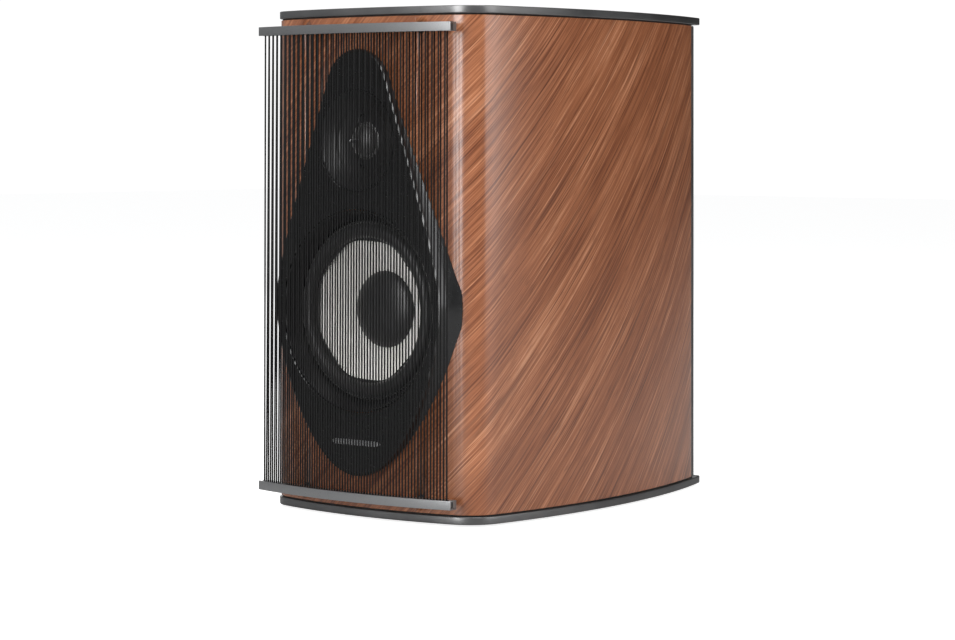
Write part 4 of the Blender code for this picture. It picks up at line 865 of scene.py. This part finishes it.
# the cap's height falls off as (1 - s^2) ^ 0.575 over the share s of its radius
s = np.linspace(0, 1, 30)
cap_r = 0.0300
rise = np.sqrt(np.maximum(1 - s ** 2, 0)) ** 1.15
dome = np.column_stack((cap_r * s, cap_high.y - (cap_high.y - cap_low.y) * rise))
under = np.column_stack((dome[::-1, 0] * 0.965, dome[::-1, 1] + 0.0009))
under[0] = (cap_r - 0.0016, cap_high.y)
shape = np.concatenate((dome, under))
add_piece(turned("domed_cap", shape, 0, WOOFER_Z, 128, closed=False, angle=60), cap, "black_plastic",
          "woofer_cone", "dust_cap")


# ------------------------ tweeter
# A turned dish in satin black leads to a coated silk dome, with an arched steel bridge
# over it that carries a small polished tip.

# depth T - (T - M) (0.35 s + 0.65 s^2.1) from throat to mouth, with a small step part of the way
THROAT, MOUTH, DISH_RIM, DISH_FLANGE, CHAMBER_SEAT = 0.0148, 0.0386, 0.0389, 0.0420, 0.0188
STEP = 0.0007
mouth_y = dish_low.y
throat_y = at(0.0086)
dish_s = np.linspace(0, 1, 30)
dish_r = THROAT + (MOUTH - THROAT) * dish_s
dish_y = throat_y - (throat_y - mouth_y) * (0.35 * dish_s + 0.65 * dish_s ** 2.1)
step = STEP / (1 + np.exp((dish_r - 0.0268) / 0.00012))
dish_profile = np.concatenate((np.column_stack((dish_r, dish_y + step - STEP)), [
    (DISH_RIM, mouth_y), (DISH_RIM, at(0.0055)), (DISH_FLANGE, at(0.0055)), (DISH_FLANGE, at(0.0130)),
    (CHAMBER_SEAT, at(0.0130)), (CHAMBER_SEAT, at(0.0102)), (THROAT, at(0.0102))]))
dish_profile[:, 1] = np.maximum(dish_profile[:, 1], mouth_y)
add_piece(turned("turned_dish", dish_profile, 0, TWEETER_Z, 160, angle=30), satin, "black_metal", "cabinet",
          "tweeter_waveguide")

silk = Finish("coated_silk", (0.022, 0.021, 0.021), 0.45, Sheen_Weight=0.4, Coat_Weight=0.35,
              Coat_Roughness=0.35)
threads = silk.noise(2400, detail=2.0)
silk.bump(threads, 0.00004, 0.4)
silk.set("Roughness", silk.span(threads, 0.3, 0.7, 0.38, 0.54))
DOME, DOME_RISE = 0.0125, 0.0075
base = 0.0088
a = np.linspace(0, math.pi / 2, 18)
crown = np.column_stack((DOME * np.sin(a), at(base) - DOME_RISE * np.cos(a)))
b = np.linspace(0, math.pi, 9)[1:-1]
ring_roll = np.column_stack((0.0132 - 0.0007 * np.cos(b), at(base) - 0.0006 * np.sin(b)))
rim = [(0.0145, at(base)), (0.0145, at(base + 0.0005)), (0.0135, at(base + 0.0004)),
       (0.0127, at(base + 0.0004)), (0.0127, at(base + 0.006)), (0.0121, at(base + 0.006))]
inside = np.column_stack((0.96 * crown[::-1, 0], crown[::-1, 1] + 0.0005))
add_piece(turned("silk_dome", np.concatenate((crown, ring_roll, rim, inside)), 0, TWEETER_Z, 96, closed=False,
                 angle=50), silk, "silk", "tweeter_dome", "tweeter_dome")


def tube(name, path, side, radius, sides):
    """Round tube: path + r (side cos a + (tangent x side) sin a), one ring for each point of the path."""
    tangent = np.gradient(path, axis=0)
    tangent /= np.linalg.norm(tangent, axis=1, keepdims=True)
    side = side - np.sum(side * tangent, 1, keepdims=True) * tangent
    side /= np.linalg.norm(side, axis=1, keepdims=True)
    across = np.cross(tangent, side)
    a = np.linspace(0, math.tau, sides, endpoint=False)[None, :, None]
    grid = path[:, None] + radius * (side[:, None] * np.cos(a) + across[:, None] * np.sin(a))
    return surface(name, grid, wrap_columns=True, caps=True, angle=60)


# the arch is foot + (crest - foot) sin(t) ^ 0.8 in depth and F cos(t) in height
WIRE, FOOT = 0.0008, 0.0205
crest_y = at(base - 0.0075 - 0.0003 - 0.0022)
foot_y = at(0.0077 - 2 * GAP - 0.0008)
t = np.linspace(0, math.pi, 49)
arch = np.column_stack((np.zeros(len(t)), foot_y + (crest_y - foot_y) * np.sin(t) ** 0.8,
                        TWEETER_Z + FOOT * np.cos(t)))
polish = Finish("polished_tip", (0.75, 0.75, 0.76), 0.10, 1.0)
smear = polish.noise(500)
polish.set("Roughness", polish.span(smear, 0.3, 0.7, 0.06, 0.16))
bridge = tube("arched_bridge", arch, np.tile((1.0, 0.0, 0.0), (len(t), 1)), WIRE, 12)
add_piece(bridge, satin, "steel", "cabinet", "tweeter_bridge")
tip = turned("pointed_tip", [(0, crest_y - 0.0085), (0.0005, crest_y - 0.0081), (0.0012, crest_y - 0.0068),
                             (0.0024, crest_y - 0.0005), (0.0016, crest_y + 0.0012), (0, crest_y + 0.0014)],
             0, TWEETER_Z, 48, 0.0004, closed=False, angle=60)
add_piece(tip, polish, "steel", "cabinet", "tweeter_bridge")


# ------------------------ grille
# Two bowed aluminium bars plug into the cabinet, and one elastic cord is laced between
# them, over a tongue in the upper bar and round the lower bar's web.

GRILLE_FRONT, GRILLE_RADIUS, HALF_SPAN = -0.0184, 0.446, 0.1016
BAR_HEIGHT, BAR_DEPTH, FACE, SLOT, TONGUE, WEB = 0.007, 0.0094, 0.0016, 0.0020, 0.0014, 0.0010
CORD, PEG, PEG_REACH = 0.0013, 0.0025, 0.06
bar_metal = Finish("bar_anodise", (0.235, 0.237, 0.24), 0.34, 0.9)
bar_blast = bar_metal.noise(2600, detail=2.0)
bar_metal.grained(bar_blast, 0.27, 0.38, 0.00002, 0.4)


def bowed(name, section, start, end, steps=97):
    """Section of (depth, z) points carried round the plan arc: x = (R - d) sin a, y = m - (R - d) cos a."""
    p = rounded(section, 0.0003, 4)
    a = np.linspace(start, end, steps)[:, None]
    radius = GRILLE_RADIUS - p[None, :, 0]
    grid = np.stack((radius * np.sin(a), at(GRILLE_FRONT + GRILLE_RADIUS) - radius * np.cos(a),
                     np.broadcast_to(p[None, :, 1], (steps, len(p)))), -1)
    return surface(name, grid, wrap_columns=True, caps=True, angle=30)


def block(d0, d1, z0, z1):
    """Rectangular section between two depths and two levels."""
    return [(d0, z0), (d1, z0), (d1, z1), (d0, z1)]


END = math.asin(HALF_SPAN / GRILLE_RADIUS)
SLOT_END = math.asin((HALF_SPAN - 0.004) / GRILLE_RADIUS)


def joined(name, *shown):
    """One piece made of several closed pieces."""
    data = bpy.data.meshes.new(name)
    together = bmesh.new()
    for item in shown:
        together.from_mesh(item.data)
        bpy.data.objects.remove(item, do_unlink=True)
    together.to_mesh(data)
    together.free()
    smooth(data, 30)
    return placed(name, data)


def peg(x, z, start, end):
    """Round pin with rounded ends, which plugs into a socket."""
    return turned("peg", [(0, start), (PEG, start), (PEG, end), (0, end)], x, z, 40, 0.0004, closed=False)


for row in ("top", "bottom"):
    low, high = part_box(f"grille_{row}_face")
    z0, z1 = low.z, high.z
    rail_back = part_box(f"grille_{row}_rail")[1].y
    if row == "top":
        strip = [(0, z0), (FACE, z0), (FACE, z1 - WEB), (BAR_DEPTH, z1 - WEB), (BAR_DEPTH, z1), (0, z1)]
    else:
        strip = [(0, z0), (BAR_DEPTH, z0), (BAR_DEPTH, z0 + WEB), (FACE, z0 + WEB), (FACE, z1), (0, z1)]
    add_piece(bowed(f"{row}_bar_face", strip, -END, END), bar_metal, "graphite", "grille",
              f"grille_{row}_face")
    start = FACE + SLOT
    r0, r1 = (z0, z1 - WEB - GAP) if row == "top" else (z0 + WEB + GAP, z1)
    solids = []
    if row == "top":
        tongue_z = z1 - WEB - CORD - 5 * GAP
        solids.append(bowed("tongue", block(start, start + TONGUE, r0, tongue_z), -SLOT_END, SLOT_END))
        solids.append(bowed("back", block(start + TONGUE + SLOT, BAR_DEPTH, r0, r1), -SLOT_END, SLOT_END))
        solids.append(bowed("left", block(start, BAR_DEPTH, r0, r1), -END, -SLOT_END, 7))
        solids.append(bowed("right", block(start, BAR_DEPTH, r0, r1), SLOT_END, END, 7))
    else:
        solids.append(bowed("rail", block(start, BAR_DEPTH, r0, r1), -END, END))
    for side in (-1, 1):
        bow = math.sqrt((GRILLE_RADIUS - BAR_DEPTH) ** 2 - PEG_REACH ** 2)
        back = GRILLE_FRONT + GRILLE_RADIUS - bow - 0.001
        solids.append(peg(side * PEG_REACH, z0 + BAR_HEIGHT / 2, at(back), rail_back))
    add_piece(joined(f"{row}_bar_rail", *solids), bar_metal, "graphite", "grille", f"grille_{row}_rail")

elastic = Finish("elastic_cord", (0.005, 0.005, 0.0051), 0.6, Specular_IOR_Level=0.12)
plait = elastic.noise(1.0, elastic.stretch((1500, 1500, 1500)), 2.0)
elastic.grained(plait, 0.46, 0.66, 0.00005, 0.4)


def lacing():
    """Path of the cord as (angle, depth, z, spin) for every loop, and the side it turns to.

    A loop is a half turn below, a run up in the front row, a half turn over the tongue, and a run
    down in the rear row to the next half turn.  The path winds round the same arc as the bars.
    """
    loops, half = 35, CORD / 2
    front = FACE + SLOT / 2
    rear = FACE + 1.5 * SLOT + TONGUE
    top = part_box("grille_top_face")[1].z - WEB - CORD - 5 * GAP + half + GAP
    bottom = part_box("grille_bottom_face")[0].z + WEB + half + 3 * GAP
    reach = math.asin((HALF_SPAN - 0.0045) / GRILLE_RADIUS)
    pitch = 2 * reach / (loops - 0.5)
    turn = pitch / 4 * GRILLE_RADIUS
    middle = (-reach + pitch * (np.arange(loops) + 0.25))[:, None]
    f = np.linspace(0, math.pi, 9)[None, :]
    u = np.linspace(0, 1, 9)[None, 1:-1]
    ones = np.ones((loops, 1))
    low_turn = (middle - pitch / 2 - pitch / 4 * np.cos(f), front + 0 * f * ones,
                bottom + turn - turn * np.sin(f) * ones, 0 * f * ones)
    rise = (middle - pitch / 4 * (1 - u), front + 0 * u * ones,
            (bottom + turn + (top - half - bottom - turn) * u) * ones, math.pi / 2 * u * ones)
    over = (middle + 0 * f, ((front + rear) / 2 - (rear - front) / 2 * np.cos(f)) * ones,
            (top - half + half * np.sin(f)) * ones, math.pi / 2 + 0 * f * ones)
    fall = (middle + pitch / 4 * u, (rear + (front - rear) * u) * ones,
            (top - half + (bottom + turn - top + half) * u) * ones, math.pi / 2 * (1 - u) * ones)
    loop_parts = (low_turn, rise, over, fall)
    fields = [np.concatenate([part[k] for part in loop_parts], 1).ravel() for k in range(4)]
    first = (-reach, front, bottom, 0.0)
    last = (reach, front, bottom, 0.0)
    # the first half turn is left off, and the cord's ends are set in its place
    angle, depth, z, spin = [np.concatenate(([a], field[f.size:], [c]))
                             for a, field, c in zip(first, fields, last)]
    radius = GRILLE_RADIUS - depth
    points = np.column_stack((radius * np.sin(angle),
                              at(GRILLE_FRONT + GRILLE_RADIUS) - radius * np.cos(angle), z))
    outward = np.column_stack((np.sin(angle), -np.cos(angle), np.zeros_like(angle)))
    sideways = np.column_stack((np.cos(angle), np.sin(angle), np.zeros_like(angle)))
    side = outward * np.cos(spin)[:, None] + sideways * np.sin(spin)[:, None]
    return points, side


CORD_DRAWN = 0.00067                 # radius of the drawn cord, a little over half of CORD
route, lean_side = lacing()
add_piece(tube("laced_cord", route, lean_side, CORD_DRAWN, 10), elastic, "cord", "grille", "grille_cord")


# ------------------------ pieces inside
# The basket, motors, linings and crossover are hidden, and keep the model's own shapes.

copper = Finish("copper_wire", (0.72, 0.33, 0.16), 0.32, 1.0)
windings = copper.noise(1.0, copper.stretch((60, 60, 1800)), 2.0)
copper.stain(windings, [(0.35, (0.45, 0.17, 0.07)), (0.65, (0.80, 0.40, 0.20))])
copper.bump(windings, 0.0001, 0.6)
ferrite = Finish("ferrite", (0.045, 0.045, 0.05), 0.6)
ferrite.bump(ferrite.noise(500, detail=4.0), 0.00008, 0.6)
felt = Finish("wool_felt", (0.10, 0.10, 0.10), 0.95, Sheen_Weight=0.5)
wool = felt.noise(260, detail=6.0, rough=0.7)
felt.stain(wool, [(0.35, (0.07, 0.07, 0.07)), (0.7, (0.16, 0.16, 0.16))])
felt.bump(wool, 0.0006, 0.8)
glass_fibre = Finish("glass_fibre", (0.02, 0.07, 0.035), 0.35)
glass_fibre.bump(glass_fibre.noise(600, detail=3.0), 0.00004, 0.4)
film = Finish("amber_film", (0.42, 0.18, 0.04), 0.3, Coat_Weight=0.5)
wound_film = film.noise(200, detail=3.0)
film.stain(wound_film, [(0.3, (0.34, 0.13, 0.03)), (0.7, (0.50, 0.22, 0.05))])
ceramic = Finish("ceramic", (0.72, 0.70, 0.66), 0.7)
ceramic.bump(ceramic.noise(900, detail=3.0), 0.00005, 0.5)
for finish, names in (
        (copper, ("woofer_voice_coil", "woofer_inductor", "tweeter_inductor")),
        (ferrite, ("woofer_magnet", "tweeter_motor")),
        (felt, ("felt_lining_left", "felt_lining_right")),
        (glass_fibre, ("crossover_board",)),
        (film, ("woofer_capacitor", "tweeter_capacitor")),
        (ceramic, ("crossover_resistor",)),
        (steel, ("woofer_front_plate", "woofer_pole_plate")),
        (satin, ("woofer_basket",)),
        (moulded, ("tweeter_chamber", "grille_socket_top_left", "grille_socket_top_right",
                   "grille_socket_bottom_left", "grille_socket_bottom_right"))):
    for name in names:
        paint(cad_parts[name], finish)


# ------------------------ spider
# A disc of resin-stiffened cotton pressed into rings, glued to the basket outside and to the
# coil inside.  It gives way at its middle ring, so it is split there: the outer part stays
# with the basket and the inner part goes with the cone.

cotton = Finish("resin_cotton", (0.42, 0.24, 0.08), 0.85, Sheen_Weight=0.2)
threads = cotton.noise(900, detail=4.0)
cotton.stain(threads, [(0.35, (0.34, 0.19, 0.06)), (0.7, (0.50, 0.30, 0.11))])
cotton.bump(threads, 0.00006, 0.5)
SPIDER_SPLIT = 0.0280
spider_low, spider_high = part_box("spider")
spider_mid = (spider_low.y + spider_high.y) / 2


def pressed_rings(start, stop):
    """Closed wall between two radii: its depth swings with the radius by 0.9 mm, 0.6 mm thick."""
    r = np.linspace(start, stop, 40)
    y = spider_mid + 0.0009 * np.sin(math.tau * (r - SPIDER_SPLIT) / 0.0042)
    return np.concatenate((np.column_stack((r, y - 0.0003)), np.column_stack((r, y + 0.0003))[::-1]))


for name, start, stop, body in (("spider_outer_rings", SPIDER_SPLIT + 0.0002, 0.0399, "cabinet"),
                                ("spider_inner_rings", 0.0169, SPIDER_SPLIT - 0.0002, "woofer_cone")):
    rings = turned(name, pressed_rings(start, stop), 0, WOOFER_Z, 96, angle=60)
    add_piece(rings, cotton, "film", body, "spider")
